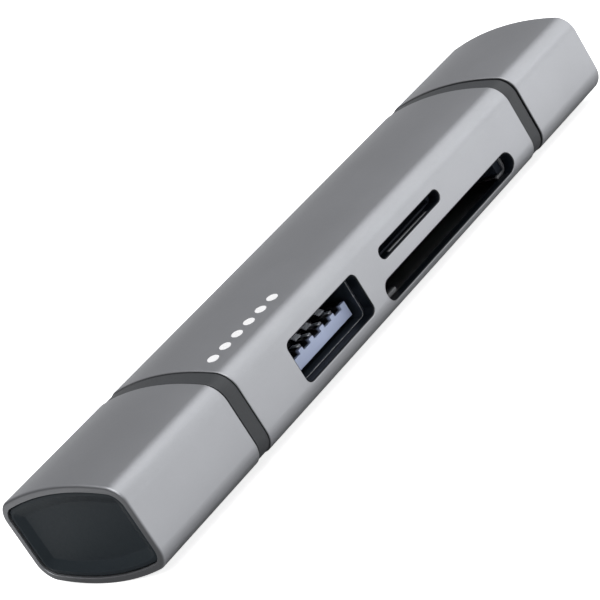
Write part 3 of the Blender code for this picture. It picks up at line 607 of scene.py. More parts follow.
def sweep(
    profile: Iterable[Point],
    outline_at: OutlineAt,
    axis: Axis = Axis.X,
    closed: bool = False,
    origin: tuple[float, float, float] = (0.0, 0.0, 0.0),
) -> bmesh.types.BMesh:
    """Carries an outline along an axis while it grows and shrinks.

    Args:
        profile: (distance along the axis, inset of the outline) for each loop of points.
        outline_at: gives the outline for an inset.
        axis: the axis.
        closed: joins the last loop to the first, which makes a tube; otherwise both ends are capped.
        origin: where the distance and the outline start from.

    Returns:
        The mesh, in millimetres.
    """
    bm = bmesh.new()
    start = Vector(origin)
    loops = [
        [bm.verts.new(start + axis.place(along, u, v)) for u, v in outline_at(inset)]
        for along, inset in profile
    ]
    if closed:
        loops.append(loops[0])
    skin(bm, loops, capped=not closed)
    return bm


def tube_profile(start: float, end: float, wall: float, rounds: Sequence[float]) -> list[Point]:
    """The section through the wall of a straight tube, for a closed sweep.

    Args:
        start: where the tube starts along its axis.
        end: where it ends.
        wall: its thickness.
        rounds: the radii of the outer edge at the start and the end, then the inner edge at the end and
            the start.

    Returns:
        (distance along the axis, inset) points.
    """
    corners = ((start, 0.0), (end, 0.0), (end, wall), (start, wall))
    return filleted([(*corner, radius) for corner, radius in zip(corners, rounds)], closed=True)


def box_mesh(low: Sequence[float], high: Sequence[float]) -> bmesh.types.BMesh:
    """A box between two corners, in millimetres."""
    bm = bmesh.new()
    bmesh.ops.create_cube(bm, size=1.0)
    size = Vector(high) - Vector(low)
    bmesh.ops.scale(bm, vec=size, verts=bm.verts)
    bmesh.ops.translate(bm, vec=(Vector(high) + Vector(low)) / 2, verts=bm.verts)
    return bm


def strip_mesh(path: Sequence[Point], thickness: float, width: float, axis: Axis) -> bmesh.types.BMesh:
    """A bent strip of sheet metal.

    Args:
        path: (distance, height) points of its middle line.
        thickness: the sheet's thickness.
        width: the strip's width.
        axis: X or Y, the way that the strip runs.

    Returns:
        The mesh, in millimetres.
    """
    upper, lower = [], []
    for index, (along, height) in enumerate(path):
        before, after = path[max(index - 1, 0)], path[min(index + 1, len(path) - 1)]
        way = Vector((after[0] - before[0], after[1] - before[1])).normalized()
        off = Vector((-way.y, way.x)) * thickness / 2
        upper.append((along + off.x, height + off.y))
        lower.append((along - off.x, height - off.y))
    outline = upper + lower[::-1]
    bm = bmesh.new()
    sides = []
    for side in (-width / 2, width / 2):
        if axis is Axis.X:
            sides.append([bm.verts.new((s, side, h)) for s, h in outline])
        else:
            sides.append([bm.verts.new((side, s, h)) for s, h in outline])
    skin(bm, sides)
    return bm


# ------------------------------------------------------------------ pieces


def object_of(name: str, bm: bmesh.types.BMesh) -> bpy.types.Object:
    """Puts a mesh, which is used up, into the scene as an object."""
    mesh = bpy.data.meshes.new(name)
    bm.to_mesh(mesh)
    bm.free()
    obj = bpy.data.objects.new(name, mesh)
    bpy.context.scene.collection.objects.link(obj)
    return obj


def shape(name: str, bm: bmesh.types.BMesh) -> bpy.types.Object:
    """Turns a mesh in millimetres into an object in metres, with its faces pointing outwards.

    Args:
        name: the object's name.
        bm: the mesh, which is used up.

    Returns:
        The object, at the origin.
    """
    bmesh.ops.recalc_face_normals(bm, faces=bm.faces)
    bmesh.ops.scale(bm, vec=(MM, MM, MM), verts=bm.verts)
    return object_of(name, bm)


def settle(obj: bpy.types.Object) -> bpy.types.Object:
    """Turns an object's modifiers into plain mesh.

    Args:
        obj: the object.

    Returns:
        The same object, with no modifiers left.
    """
    bpy.context.view_layer.update()
    graph = bpy.context.evaluated_depsgraph_get()
    mesh = bpy.data.meshes.new_from_object(obj.evaluated_get(graph), depsgraph=graph)
    mesh.name = obj.name
    obj.modifiers.clear()
    obj.data = mesh
    return obj


def carve(obj: bpy.types.Object, tools: Sequence[bpy.types.Object], operation: str) -> bpy.types.Object:
    """Cuts tools out of an object, or joins them to it, and removes the tools.

    Args:
        obj: the object.
        tools: the objects to cut or join with.
        operation: DIFFERENCE, UNION or INTERSECT.

    Returns:
        The same object.
    """
    for tool in tools:
        modifier = obj.modifiers.new(tool.name, "BOOLEAN")
        modifier.operation = operation
        modifier.object = tool
        modifier.solver = "EXACT"
    settle(obj)
    for tool in tools:
        bpy.data.objects.remove(tool, do_unlink=True)
    return obj


def soften(obj: bpy.types.Object, width: float, segments: int = 2, angle: float = 40.0) -> bpy.types.Object:
    """Rounds an object's sharp edges.

    Args:
        obj: the object.
        width: how wide the rounding is, in millimetres.
        segments: the flats in it.
        angle: edges that turn by more than this many degrees are rounded.

    Returns:
        The same object.
    """
    modifier = obj.modifiers.new("edges", "BEVEL")
    modifier.width = width * MM
    modifier.segments = segments
    modifier.limit_method = "ANGLE"
    modifier.angle_limit = math.radians(angle)
    return settle(obj)


def shade(obj: bpy.types.Object, angle: float = 38.0) -> bpy.types.Object:
    """Shades an object smooth between its sharp edges, with its large faces kept flat.

    Args:
        obj: the object.
        angle: edges that turn by more than this many degrees stay sharp.

    Returns:
        The same object.
    """
    obj.data.shade_smooth()
    obj.data.set_sharp_from_angle(angle=math.radians(angle))
    modifier = obj.modifiers.new("flat_faces", "WEIGHTED_NORMAL")
    modifier.keep_sharp = True
    modifier.weight = 60
    return settle(obj)


def install(
    obj: bpy.types.Object, body: str, finish: Finish, nodes: Sequence[str] = ()
) -> None:
    """Puts a finished piece into the frame.

    Args:
        obj: the piece.
        body: the CAD body that it moves with.
        finish: its finish.
        nodes: the CAD nodes that it stands for.
    """
    obj.data.materials.clear()
    obj.data.materials.append(finish.material())
    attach(obj, body)
    if nodes:
        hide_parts(*nodes)
    LOG.info("%s: %d faces, rides on %s", obj.name, len(obj.data.polygons), body)


def refined(node: str, name: str, edge: float, segments: int = 2) -> bpy.types.Object:
    """A copy of a CAD node with whole faces and rounded edges.

    Args:
        node: the CAD node.
        name: the copy's name.
        edge: how wide the rounding is, in millimetres.
        segments: the flats in it.

    Returns:
        The copy.
    """
    bm = bmesh.new()
    bm.from_mesh(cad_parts[node].data)
    bmesh.ops.scale(bm, vec=(1 / MM,) * 3, verts=bm.verts)
    bmesh.ops.remove_doubles(bm, verts=bm.verts, dist=0.002)
    bmesh.ops.dissolve_limit(bm, angle_limit=math.radians(0.6), verts=bm.verts, edges=bm.edges)
    return shade(soften(shape(name, bm), edge, segments))


@dataclass(frozen=True)
class Span:
    """The box of a CAD node, in millimetres."""

    low: Vector
    high: Vector

    @classmethod
    def of(cls, node: str) -> Span:
        """The box of that node."""
        low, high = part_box(node)
        return cls(low / MM, high / MM)

    @property
    def middle(self) -> Vector:
        """The box's middle."""
        return (self.low + self.high) / 2

    @property
    def size(self) -> Vector:
        """The box's size."""
        return self.high - self.low

    def ends(self, sign: int) -> Point:
        """Its end on the side of X that the sign names, and its other end."""
        return (self.low.x, self.high.x) if sign < 0 else (self.high.x, self.low.x)


# ------------------------------------------------------------------ rows made by Geometry Nodes


@lru_cache
def row_tree() -> bpy.types.NodeTree:
    """A Geometry Nodes tree that repeats the piece it is given along a straight row.

    Returns:
        The tree, with inputs Count, Pitch and Finish. The row is centred on the piece's own place.
    """
    tree = bpy.data.node_groups.new("row_of_pieces", "GeometryNodeTree")
    tree.is_modifier = True
    for title, kind in (
        ("Piece", "NodeSocketGeometry"),
        ("Count", "NodeSocketInt"),
        ("Pitch", "NodeSocketVector"),
        ("Finish", "NodeSocketMaterial"),
    ):
        tree.interface.new_socket(name=title, in_out="INPUT", socket_type=kind)
    tree.interface.new_socket(name="Row", in_out="OUTPUT", socket_type="NodeSocketGeometry")
    nodes = Nodes(tree)
    enter, leave = nodes.add("NodeGroupInput"), nodes.add("NodeGroupOutput")
    gaps = nodes.math("SUBTRACT", enter.outputs["Count"], 1.0)
    half = nodes.math("MULTIPLY", gaps, -0.5)
    start = nodes.add("ShaderNodeVectorMath", operation="SCALE")
    nodes.link(enter.outputs["Pitch"], start.inputs[0])
    nodes.link(half, start.inputs["Scale"])
    line = nodes.add("GeometryNodeMeshLine", mode="OFFSET")
    nodes.link(enter.outputs["Count"], line.inputs["Count"])
    nodes.link(start.outputs[0], line.inputs["Start Location"])
    nodes.link(enter.outputs["Pitch"], line.inputs["Offset"])
    copies = nodes.add("GeometryNodeInstanceOnPoints")
    nodes.link(line.outputs["Mesh"], copies.inputs["Points"])
    nodes.link(enter.outputs["Piece"], copies.inputs["Instance"])
    real = nodes.add("GeometryNodeRealizeInstances")
    nodes.link(copies.outputs["Instances"], real.inputs["Geometry"])
    painted = nodes.add("GeometryNodeSetMaterial")
    nodes.link(real.outputs["Geometry"], painted.inputs["Geometry"])
    nodes.link(enter.outputs["Finish"], painted.inputs["Material"])
    nodes.link(painted.outputs["Geometry"], leave.inputs["Row"])
    return tree


def row_of(
    obj: bpy.types.Object, count: int, pitch: tuple[float, float, float], finish: Finish
) -> bpy.types.Object:
    """Repeats an object along a row.

    Args:
        obj: the object, which becomes the row.
        count: how many there are.
        pitch: the step from each to the next, in millimetres.
        finish: the row's finish.

    Returns:
        The same object.
    """
    tree = row_tree()
    modifier = obj.modifiers.new("row", "NODES")
    modifier.node_group = tree
    values = {"Count": count, "Pitch": tuple(MM * step for step in pitch), "Finish": finish.material()}
    for item in tree.interface.items_tree:
        if item.in_out == "INPUT" and item.name in values:
            modifier[item.identifier] = values[item.name]
    return settle(obj)


def numbered(name: str, count: int) -> list[str]:
    """The names of CAD nodes that are numbered from 1."""
    return [f"{name}_{index}" for index in range(1, count + 1)]


def joined(name: str, parts: Sequence[bpy.types.Object]) -> bpy.types.Object:
    """Joins objects into one mesh of separate closed bodies.

    Args:
        name: the new object's name.
        parts: the objects, which are removed.

    Returns:
        The new object.
    """
    bm = bmesh.new()
    for part in parts:
        bm.from_mesh(part.data)
        bpy.data.objects.remove(part, do_unlink=True)
    return object_of(name, bm)


# ------------------------------------------------------------------ the section that all casings share


@dataclass(frozen=True)
class Section:
    """The outer section: flat sides, arched top and bottom, and round corners between them."""

    width: float
    height: float
    crown: float = 1.5
    corner: float = 2.5
    arch_steps: int = 32
    corner_steps: int = 16

    @classmethod
    def of_frame(cls) -> Section:
        """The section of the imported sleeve."""
        size = Span.of("body_sleeve").size
        return cls(width=size.y, height=size.z)

    @property
    def middle_z(self) -> float:
        """The height of the section's middle."""
        return self.height / 2

    @property
    def arch(self) -> float:
        """The radius of the arched top."""
        half = self.width / 2
        return (half**2 + self.crown**2) / (2 * self.crown)

    @property
    def arch_z(self) -> float:
        """How high the centre of the top's arch is over the section's middle."""
        return self.height / 2 - self.arch

    @property
    def corner_y(self) -> float:
        """How far the corners' centres are from the middle."""
        return self.width / 2 - self.corner

    @property
    def corner_z(self) -> float:
        """How high the upper corners' centres are over the section's middle."""
        return self.arch_z + math.sqrt((self.arch - self.corner) ** 2 - self.corner_y**2)

    @property
    def lean(self) -> float:
        """The angle over which the arch runs to each side, in radians."""
        return math.atan2(self.corner_y, self.corner_z - self.arch_z)

    def outline(self, inset: float) -> list[Point]:
        """The section moved in by an inset.

        Args:
            inset: how far, in millimetres.

        Returns:
            (y, z) points, anticlockwise seen from +X.
        """
        corner, arch = self.corner - inset, self.arch - inset
        quarter = []
        for step in range(self.corner_steps + 1):
            angle = (math.pi / 2 - self.lean) * step / self.corner_steps
            place = (self.corner_y + corner * math.cos(angle), self.corner_z + corner * math.sin(angle))
            quarter.append(place)
        top = []
        for step in range(1, self.arch_steps):
            angle = self.lean * (1 - 2 * step / self.arch_steps)
            top.append((arch * math.sin(angle), self.arch_z + arch * math.cos(angle)))
        upper = quarter + top + [(-y, z) for y, z in reversed(quarter)]
        lower = [(-y, -z) for y, z in upper]
        return [(y, z + self.middle_z) for y, z in upper + lower]

    def front_y(self, z: float) -> float:
        """Where the front surface is at a height.

        Args:
            z: the height over the floor.

        Returns:
            Its y.
        """
        over = max(abs(z - self.middle_z) - self.corner_z, 0.0)
        return -self.corner_y - math.sqrt(max(self.corner**2 - over**2, 0.0))

    def top_z(self, y: float) -> float:
        """The height of the arched top at a distance y from the middle."""
        return self.middle_z + self.arch_z + math.sqrt(self.arch**2 - y**2)


# ------------------------------------------------------------------ sleeve and fascia


@dataclass(frozen=True)
class Opening:
    """One opening in the front: where it is, how large it is, and its corners' radius."""

    name: str
    x: float
    z: float
    width: float
    height: float
    radius: float

    def outline(self, margin: float = 0.0) -> list[Point]:
        """Its outline in the frame as (x, z) points, moved in by a margin."""
        radius = max(self.radius - margin, LEAST_RADIUS)
        points = rounded_rectangle(self.width - 2 * margin, self.height - 2 * margin, radius, 12)
        return [(self.x + u, self.z + v) for u, v in points]


@dataclass(frozen=True)
class Openings:
    """The three openings, placed by the sockets behind them."""

    usb_size: Point = (13.1, 5.15)
    usb_radius: float = 0.85
    sd_size: Point = (27.4, 2.6)
    sd_roof: float = 0.45
    sd_drop: float = 0.12
    microsd_size: Point = (12.4, 1.56)
    microsd_floor: float = 0.5
    microsd_room: float = 0.95

    def all(self) -> list[Opening]:
        """The openings from left to right."""
        port = Span.of("usb_port_shell").middle
        sd = Span.of("sd_socket_frame")
        microsd = Span.of("microsd_socket_frame")
        sd_z = (sd.low.z - SEAM + sd.high.z - self.sd_roof) / 2 - self.sd_drop
        microsd_z = microsd.low.z + self.microsd_floor + self.microsd_room / 2
        openings = [Opening("usb", port.x, port.z, *self.usb_size, self.usb_radius)]
        slots = (("microsd", microsd, microsd_z, self.microsd_size), ("sd", sd, sd_z, self.sd_size))
        for name, socket, z, (width, height) in slots:
            radius = height / 2 - LEAST_FLAT
            openings.append(Opening(name, socket.middle.x, z, width, height, radius))
        return openings


@dataclass
class Sleeve:
    """The aluminium sleeve, and the black fascia whose collars line its openings."""

    section: Section
    openings: list[Opening]
    end_round: float = 0.14
    lip_round: float = 0.08
    lip_steps: int = 5
    lip_flare: float = 0.35
    plate: float = 0.5
    collar_gap: float = 0.03
    collar_wall: float = 0.1
    collar_root: float = 0.6
    collar_set_back: float = 0.14
    collar_bevel: float = 0.03
    bevel_depth: float = 0.04
    bore_bevel: Point = (0.05, -0.02)

    def build(self) -> None:
        """Builds the sleeve and the fascia."""
        span = Span.of("body_sleeve")
        outer, inner = self.end_round, self.end_round / 2
        profile = tube_profile(span.low.x, span.high.x, SLEEVE_WALL, (outer, outer, inner, inner))
        sleeve = shape("sleeve", sweep(profile, self.section.outline, closed=True))
        carve(sleeve, [self._cutter(opening) for opening in self.openings], "DIFFERENCE")
        install(shade(sleeve), "hub", ALUMINIUM, ["body_sleeve"])
        self._build_fascia()

    def _cutter(self, opening: Opening) -> bpy.types.Object:
        """A cutter that leaves a rounded lip where an opening meets the front surface.

        Args:
            opening: the opening.

        Returns:
            The cutter.
        """
        rings = [
            (SLEEVE_WALL + CUT_PAST, 0.0),
            *quarter_round(self.lip_round, self.lip_steps),
            (-CUT_PAST, self.lip_round + self.lip_flare),
        ]
        return shape(f"{opening.name}_cut", self._follow_front(opening, rings))

    def _follow_front(self, opening: Opening, rings: Sequence[Point]) -> bmesh.types.BMesh:
        """A solid through rings of points that keep a given depth under the front surface.

        Args:
            opening: the opening whose outline the rings take.
            rings: (depth under the surface, how far the outline is moved out) of each ring.

        Returns:
            The mesh, in millimetres.
        """
        bm = bmesh.new()
        loops = []
        for depth, out in rings:
            places = [(x, self.section.front_y(z) + depth, z) for x, z in opening.outline(-out)]
            loops.append([bm.verts.new(place) for place in places])
        skin(bm, loops, capped=False)
        for loop in (loops[0], loops[-1]):
            middle = bm.verts.new(sum((vert.co for vert in loop), Vector()) / len(loop))
            for index, vert in enumerate(loop):
                bm.faces.new((vert, loop[(index + 1) % len(loop)], middle))
        return bm

    def _build_fascia(self) -> None:
        """The plate behind the front wall, with a thin collar through each opening."""
        span = Span.of("port_fascia")
        front = -self.section.width / 2
        inside = SLEEVE_WALL + SEAM
        back = front + inside + self.plate
        kept = [(y, z) for y, z in self.section.outline(inside) if y < back]
        kept.sort(key=lambda point: point[1])
        outline = [(back, kept[0][1]), *kept, (back, kept[-1][1])]
        plate = sweep([(span.low.x, 0.0), (span.high.x, 0.0)], lambda _inset: outline)
        fascia = shape("port_fascia_fine", plate)
        gap, bore = -self.collar_gap, -(self.collar_gap + self.collar_wall)
        rim, bevel = self.collar_set_back, self.collar_bevel
        bevel_start, bevel_end = self.bore_bevel
        depth = inside + self.plate * self.collar_root
        outside = [(depth, gap), (rim + self.bevel_depth, gap), (rim, gap - bevel)]
        inner = [
            (depth + 2 * CUT_PAST, bore),
            (rim + bevel_start, bore),
            (rim + bevel_end, bore + bevel),
            (-CUT_PAST, bore + bevel),
        ]
        collars = [shape(f"{hole.name}_collar", self._follow_front(hole, outside)) for hole in self.openings]
        mouths = [shape(f"{hole.name}_mouth", self._follow_front(hole, inner)) for hole in self.openings]
        carve(fascia, collars, "UNION")
        carve(fascia, mouths, "DIFFERENCE")
        install(shade(fascia), "hub", BLACK_PLASTIC, ["port_fascia"])


# ------------------------------------------------------------------ end collars and caps


@dataclass(frozen=True)
class PlugShape:
    """The outside of a plug's shell."""

    width: float
    height: float
    radius: float

    def grown(self, gap: float) -> list[Point]:
        """Its outline with a gap all round."""
        width, height = self.width + 2 * gap, self.height + 2 * gap
        return rounded_rectangle(width, height, min(self.radius + gap, height / 2 - LEAST_FLAT))


PLUG_SHAPES = {End.USB_A: PlugShape(12.0, 4.5, 0.6), End.USB_C: PlugShape(8.25, 2.4, 1.19)}
RING_WIDTHS = {End.USB_A: 1.8, End.USB_C: 1.83}


@dataclass
class Collar:
    """The dark collar at one end: the ring that shows, the nose that carries the cap, and the spigot."""

    end: End
    section: Section
    nose_inset: float = 1.85
    set_back: float = 0.12
    ring_round: float = 0.1
    nose_root_round: float = 0.15
    nose_round: float = 0.3
    nose_rim: float = 0.6
    spigot_wall: float = 1.2
    spigot_rounds: Point = (0.1, 0.2)
    slot_gap: float = 0.1
    hole_depth: float = 15.0
    mouth_round: float = 0.25
    mouth_steps: int = 4

    def build(self) -> None:
        """Builds the collar."""
        name = f"{self.end.value}_collar"
        sign = self.end.sign
        tip, spigot = Span.of(name).ends(sign)
        sleeve_end = Span.of("body_sleeve").ends(sign)[0]
        root = sleeve_end + sign * SEAM
        face = root + sign * RING_WIDTHS[self.end]
        inside = SLEEVE_WALL + SEAM
        hollow = inside + self.spigot_wall
        inner_round, outer_round = self.spigot_rounds
        profile = filleted(
            [
                (sleeve_end, hollow, 0.0),
                (spigot, hollow, inner_round),
                (spigot, inside, outer_round),
                (root, inside, 0.0),
                (root, self.set_back, self.ring_round),
                (face, self.set_back, self.ring_round),
                (face, self.nose_inset, self.nose_root_round),
                (tip, self.nose_inset, self.nose_round),
                (tip, self.nose_inset + self.nose_rim, 0.0),
            ],
            closed=False,
        )
        collar = shape(f"{name}_fine", sweep(profile, self.section.outline))
        board = Span.of("main_board")
        start, end = sorted((spigot - sign * CUT_PAST, sleeve_end))
        slot = box_mesh(
            (start, -self.section.width, board.low.z - self.slot_gap),
            (end, self.section.width, board.high.z + self.slot_gap),
        )
        carve(collar, [shape("board_slot", slot), self._plug_hole(face, tip)], "DIFFERENCE")
        install(shade(collar), "hub", RING_PLASTIC, [name])

    def _plug_hole(self, face: float, tip: float) -> bpy.types.Object:
        """The hole that the plug comes out of, with a rounded mouth.

        Args:
            face: the x of the ring's outer face.
            tip: the x of the nose's tip.

        Returns:
            The cutter.
        """
        sign = self.end.sign
        rings = [(face - sign * self.hole_depth, SEAM)]
        for depth, out in quarter_round(self.mouth_round, self.mouth_steps):
            rings.append((tip - sign * depth, SEAM + out))
        rings.append((tip + sign * CUT_PAST, SEAM + self.mouth_round))
        middle = (0.0, 0.0, self.section.middle_z)
        return shape(f"{self.end.value}_hole", sweep(rings, PLUG_SHAPES[self.end].grown, origin=middle))


@dataclass
class Cap:
    """One pull-off cap: an aluminium tube, and a moulded insert that closes it and grips the nose."""

    end: End
    section: Section
    wall: float = 0.8
    mouth_round: float = 0.14
    end_round: float = 0.3
    inner_round: float = 0.06
    set_back: float = 0.22
    border: float = 0.5
    border_round: float = 0.22
    dish_depth: float = 0.5
    dish_slope: float = 1.1
    dish_round: float = 0.5
    dish_flat: float = 1.0
    liner_wall: float = 0.9
    liner_rounds: Point = (0.3, 0.12)
    liner_set_back: float = 0.45
    clearance: float = 0.5
    pocket_gap: float = 0.25
    deepest_inset: float = 2.4

    def build(self) -> None:
        """Builds the tube and the insert."""
        name = f"{self.end.value}_cap"
        far, mouth = Span.of(f"{name}_shell").ends(self.end.sign)
        rounds = (self.mouth_round, self.end_round, self.inner_round, self.inner_round)
        profile = tube_profile(mouth, far, self.wall, rounds)
        tube = shape(f"{name}_tube", sweep(profile, self.section.outline, closed=True))
        install(shade(tube), self.end.cap_body, ALUMINIUM, [f"{name}_shell"])
        self._build_insert(mouth, far)

    def _build_insert(self, mouth: float, far: float) -> None:
        """The insert: nose room and plug pocket inside, a shallow dish outside.

        Args:
            mouth: the x of the cap's open end.
            far: the x of its closed end.
        """
        name, sign = f"{self.end.value}_cap_insert", self.end.sign
        plug_tip = Span.of(f"{self.end.value}_plug_shell").ends(sign)[0]
        nose_tip = Span.of(f"{self.end.value}_collar").ends(sign)[0]
        outer = self.wall + SEAM
        inner = outer + self.liner_wall
        start, face = mouth + sign * self.liner_set_back, far - sign * self.set_back
        inner_round, outer_round = self.liner_rounds
        room, pocket_end = nose_tip + sign * self.clearance, plug_tip + sign * self.clearance
        dish, dish_inset = face - sign * self.dish_depth, outer + self.border + self.dish_slope
        profile = filleted(
            [
                (room, inner, 0.0),
                (start, inner, inner_round),
                (start, outer, outer_round),
                (face, outer, self.border_round),
                (face, outer + self.border, self.border_round),
                (dish, dish_inset, self.dish_round),
                (dish, dish_inset + self.dish_flat, 0.0),
            ],
            closed=False,
            steps=8,
        )
        insert = shape(f"{name}_fine", sweep(profile, self._outline))
        pocket = sweep(
            [(room - sign * CUT_PAST, self.pocket_gap), (pocket_end, self.pocket_gap)],
            PLUG_SHAPES[self.end].grown,
            origin=(0.0, 0.0, self.section.middle_z),
        )
        carve(insert, [shape("pocket", pocket)], "DIFFERENCE")
        install(shade(insert), self.end.cap_body, END_PLASTIC, [name])

    def _outline(self, inset: float) -> list[Point]:
        """The section for the insert, shrunk in proportion past the inset that its corners allow."""
        if inset <= self.deepest_inset:
            return self.section.outline(inset)
        base, extra = self.section.outline(self.deepest_inset), inset - self.deepest_inset
        middle = self.section.middle_z
        wide = max(abs(y) for y, _ in base)
        high = max(abs(z - middle) for _, z in base)
        return [(y * (1 - extra / wide), middle + (z - middle) * (1 - extra / high)) for y, z in base]


# ------------------------------------------------------------------ plugs


@dataclass
class UsbAPlug:
    """The USB-A plug: folded steel shell with its latch windows, tongue and contacts."""

    sheet: float = 0.3
    tip_round: float = 0.11
    root_round: float = 0.05
    window: float = 2.2
    window_round: float = 0.3
    window_place: float = 2.6
    window_from_tip: float = 6.2
    seam_width: float = 0.05
    seam_depth: float = 0.15
    seam_start: float = 0.6
    seam_share: float = 0.8
    teeth: int = 6
    tooth: float = 0.55
    tooth_lean: float = 0.3
    tongue_edge: float = 0.12
    flat_pairs: Point = (7.0, 2.0)
    fast_pitch: float = 2.0
    spring_sheet: float = 0.15
    spring_x: tuple[float, float, float] = (0.1, 0.55, 1.3)
    spring_rounds: Point = (0.3, 0.4)

    def build(self) -> None:
        """Builds the shell, tongue and contacts."""
        span = Span.of("usb_a_plug_shell")
        plug = PLUG_SHAPES[End.USB_A]
        rounds = (self.tip_round, self.root_round, self.root_round, self.tip_round)
        profile = tube_profile(span.low.x, span.high.x, self.sheet, rounds)
        family = rounded_family(plug.width, plug.height, plug.radius)
        origin = (0.0, 0.0, span.middle.z)
        shell = shape("usb_a_plug_shell_fine", sweep(profile, family, closed=True, origin=origin))
        windows = [self._window(span, side) for side in (-1, 1)]
        carve(shell, [*windows, self._seam(span)], "DIFFERENCE")
        install(shade(shell), "hub", STEEL, ["usb_a_plug_shell"])
        tongue = refined("usb_a_plug_insulator", "usb_a_plug_tongue", self.tongue_edge)
        install(tongue, "hub", TONGUE_PLASTIC, ["usb_a_plug_insulator"])
        self._build_contacts()

    def _window(self, span: Span, side: int) -> bpy.types.Object:
        """One pair of latch windows, through both flats."""
        x = span.low.x + self.window_from_tip
        family = rounded_family(self.window, self.window, self.window_round, steps=6)
        place = (x, side * self.window_place, span.middle.z)
        reach = span.size.z
        return shape("window", sweep([(-reach, 0.0), (reach, 0.0)], family, Axis.Z, origin=place))

    def _seam(self, span: Span) -> bpy.types.Object:
        """The joint along the underside where the sheet's two edges meet, with its dovetails."""
        run, lean = span.size.x * self.seam_share / self.teeth, self.tooth * self.tooth_lean
        path = []
        for index in range(self.teeth + 1):
            x = span.low.x + self.seam_start + run * index
            y = self.tooth if index % 2 else -self.tooth
            path += [(x - lean, -y), (x + lean, y)]
        half, low, high = self.seam_width / 2, span.low.z - CUT_PAST, span.low.z + self.seam_depth
        section = ((-half, low), (half, low), (half, high), (-half, high))
        bm = bmesh.new()
        skin(bm, [[bm.verts.new((x, y + across, z)) for across, z in section] for x, y in path])
        return shape("seam", bm)

    def _build_contacts(self) -> None:
        """The four flat contacts and the five sprung ones."""
        flat = Span.of("usb_a_plug_contact_1")
        half = flat.size.y / 2
        pairs = []
        for gap in self.flat_pairs:
            pad = box_mesh((flat.low.x, -half, flat.low.z), (flat.high.x, half, flat.high.z))
            pairs.append(row_of(soften(shape("pad", pad), PAD_EDGE), 2, (0.0, gap, 0.0), GOLD))
        contacts = joined("usb_a_plug_flat_contacts", pairs)
        install(shade(contacts), "hub", GOLD, numbered("usb_a_plug_contact", 4))
        spring = Span.of("usb_a_plug_fast_contact_1")
        tip_x, top_x, foot_x = (spring.low.x + step for step in self.spring_x)
        top_round, foot_round = self.spring_rounds
        thick = self.spring_sheet
        path = filleted(
            [
                (tip_x, spring.low.z + spring.size.z * 0.45, 0.0),
                (top_x, spring.high.z - thick * 0.7, top_round),
                (foot_x, spring.low.z + thick, foot_round),
                (spring.high.x, spring.low.z + thick / 2, 0.0),
            ],
            closed=False,
        )
        strip = shape("spring", strip_mesh(path, thick, spring.size.y, Axis.X))
        row = row_of(soften(strip, STRIP_EDGE, angle=60), 5, (0.0, self.fast_pitch, 0.0), GOLD)
        row.name = "usb_a_plug_spring_contacts"
        install(shade(row), "hub", GOLD, numbered("usb_a_plug_fast_contact", 5))


@dataclass
class UsbCPlug:
    """The USB-C plug: drawn steel shell, insulator with its mouth, and two rows of contacts."""

    sheet: float = 0.3
    tip_round: float = 0.14
    root_round: float = 0.05
    corner_steps: int = 14
    core_edges: Point = (0.05, 0.1)
    mouth: Point = (6.7, 0.9)
    mouth_corner: float = 0.3
    mouth_depth: float = 5.6
    mouth_round: float = 0.12
    contacts: int = 12
    contact_pitch: float = 0.5
    contact_width: float = 0.24
    contact_rise: float = 0.08
    contact_ends: Point = (0.4, 1.0)

    def build(self) -> None:
        """Builds the shell, the insulator and the contacts."""
        span = Span.of("usb_c_plug_shell")
        plug = PLUG_SHAPES[End.USB_C]
        origin = (0.0, 0.0, span.middle.z)
        rounds = (self.tip_round, self.root_round, self.root_round, self.tip_round)
        profile = tube_profile(span.high.x, span.low.x, self.sheet, rounds)
        family = rounded_family(plug.width, plug.height, plug.radius, self.corner_steps)
        shell = shape("usb_c_plug_shell_fine", sweep(profile, family, closed=True, origin=origin))
        install(shade(shell), "hub", STEEL, ["usb_c_plug_shell"])
        core = Span.of("usb_c_plug_insulator")
        back, front, size = core.low.x, core.high.x, core.size
        back_edge, front_edge = self.core_edges
        family = rounded_family(size.y, size.z, size.z / 2 - LEAST_FLAT, self.corner_steps)
        profile = [(back, back_edge), (back + back_edge, 0.0), (front - front_edge, 0.0), (front, front_edge)]
        insulator = shape("usb_c_plug_core", sweep(profile, family, origin=origin))
        flare = self.mouth_round
        profile = [
            (front - self.mouth_depth, 0.0),
            (front - flare, 0.0),
            (front, -flare),
            (front + CUT_PAST, -flare),
        ]
        cutter = sweep(profile, rounded_family(*self.mouth, self.mouth_corner), origin=origin)
        carve(insulator, [shape("mouth", cutter)], "DIFFERENCE")
        install(shade(insulator), "hub", SOCKET_PLASTIC, ["usb_c_plug_insulator"])
        self._build_contacts(core)

    def _build_contacts(self, core: Span) -> None:
        """The contacts that stand a little out of the mouth's two walls.

        Args:
            core: the insulator's box.
        """
        back_end, front_end = self.contact_ends
        start, end = core.high.x - self.mouth_depth + back_end, core.high.x - front_end
        half = self.contact_width / 2
        rows = []
        for side in (-1, 1):
            wall = core.middle.z + side * self.mouth[1] / 2
            bottom, top = sorted((wall, wall - side * self.contact_rise))
            strip = shape("strip", box_mesh((start, -half, bottom), (end, half, top)))
            soften(strip, STRIP_EDGE)
            rows.append(row_of(strip, self.contacts, (0.0, self.contact_pitch, 0.0), GOLD))
        install(shade(joined("usb_c_plug_contact_rows", rows)), "hub", GOLD)


# ------------------------------------------------------------------ USB port and card sockets


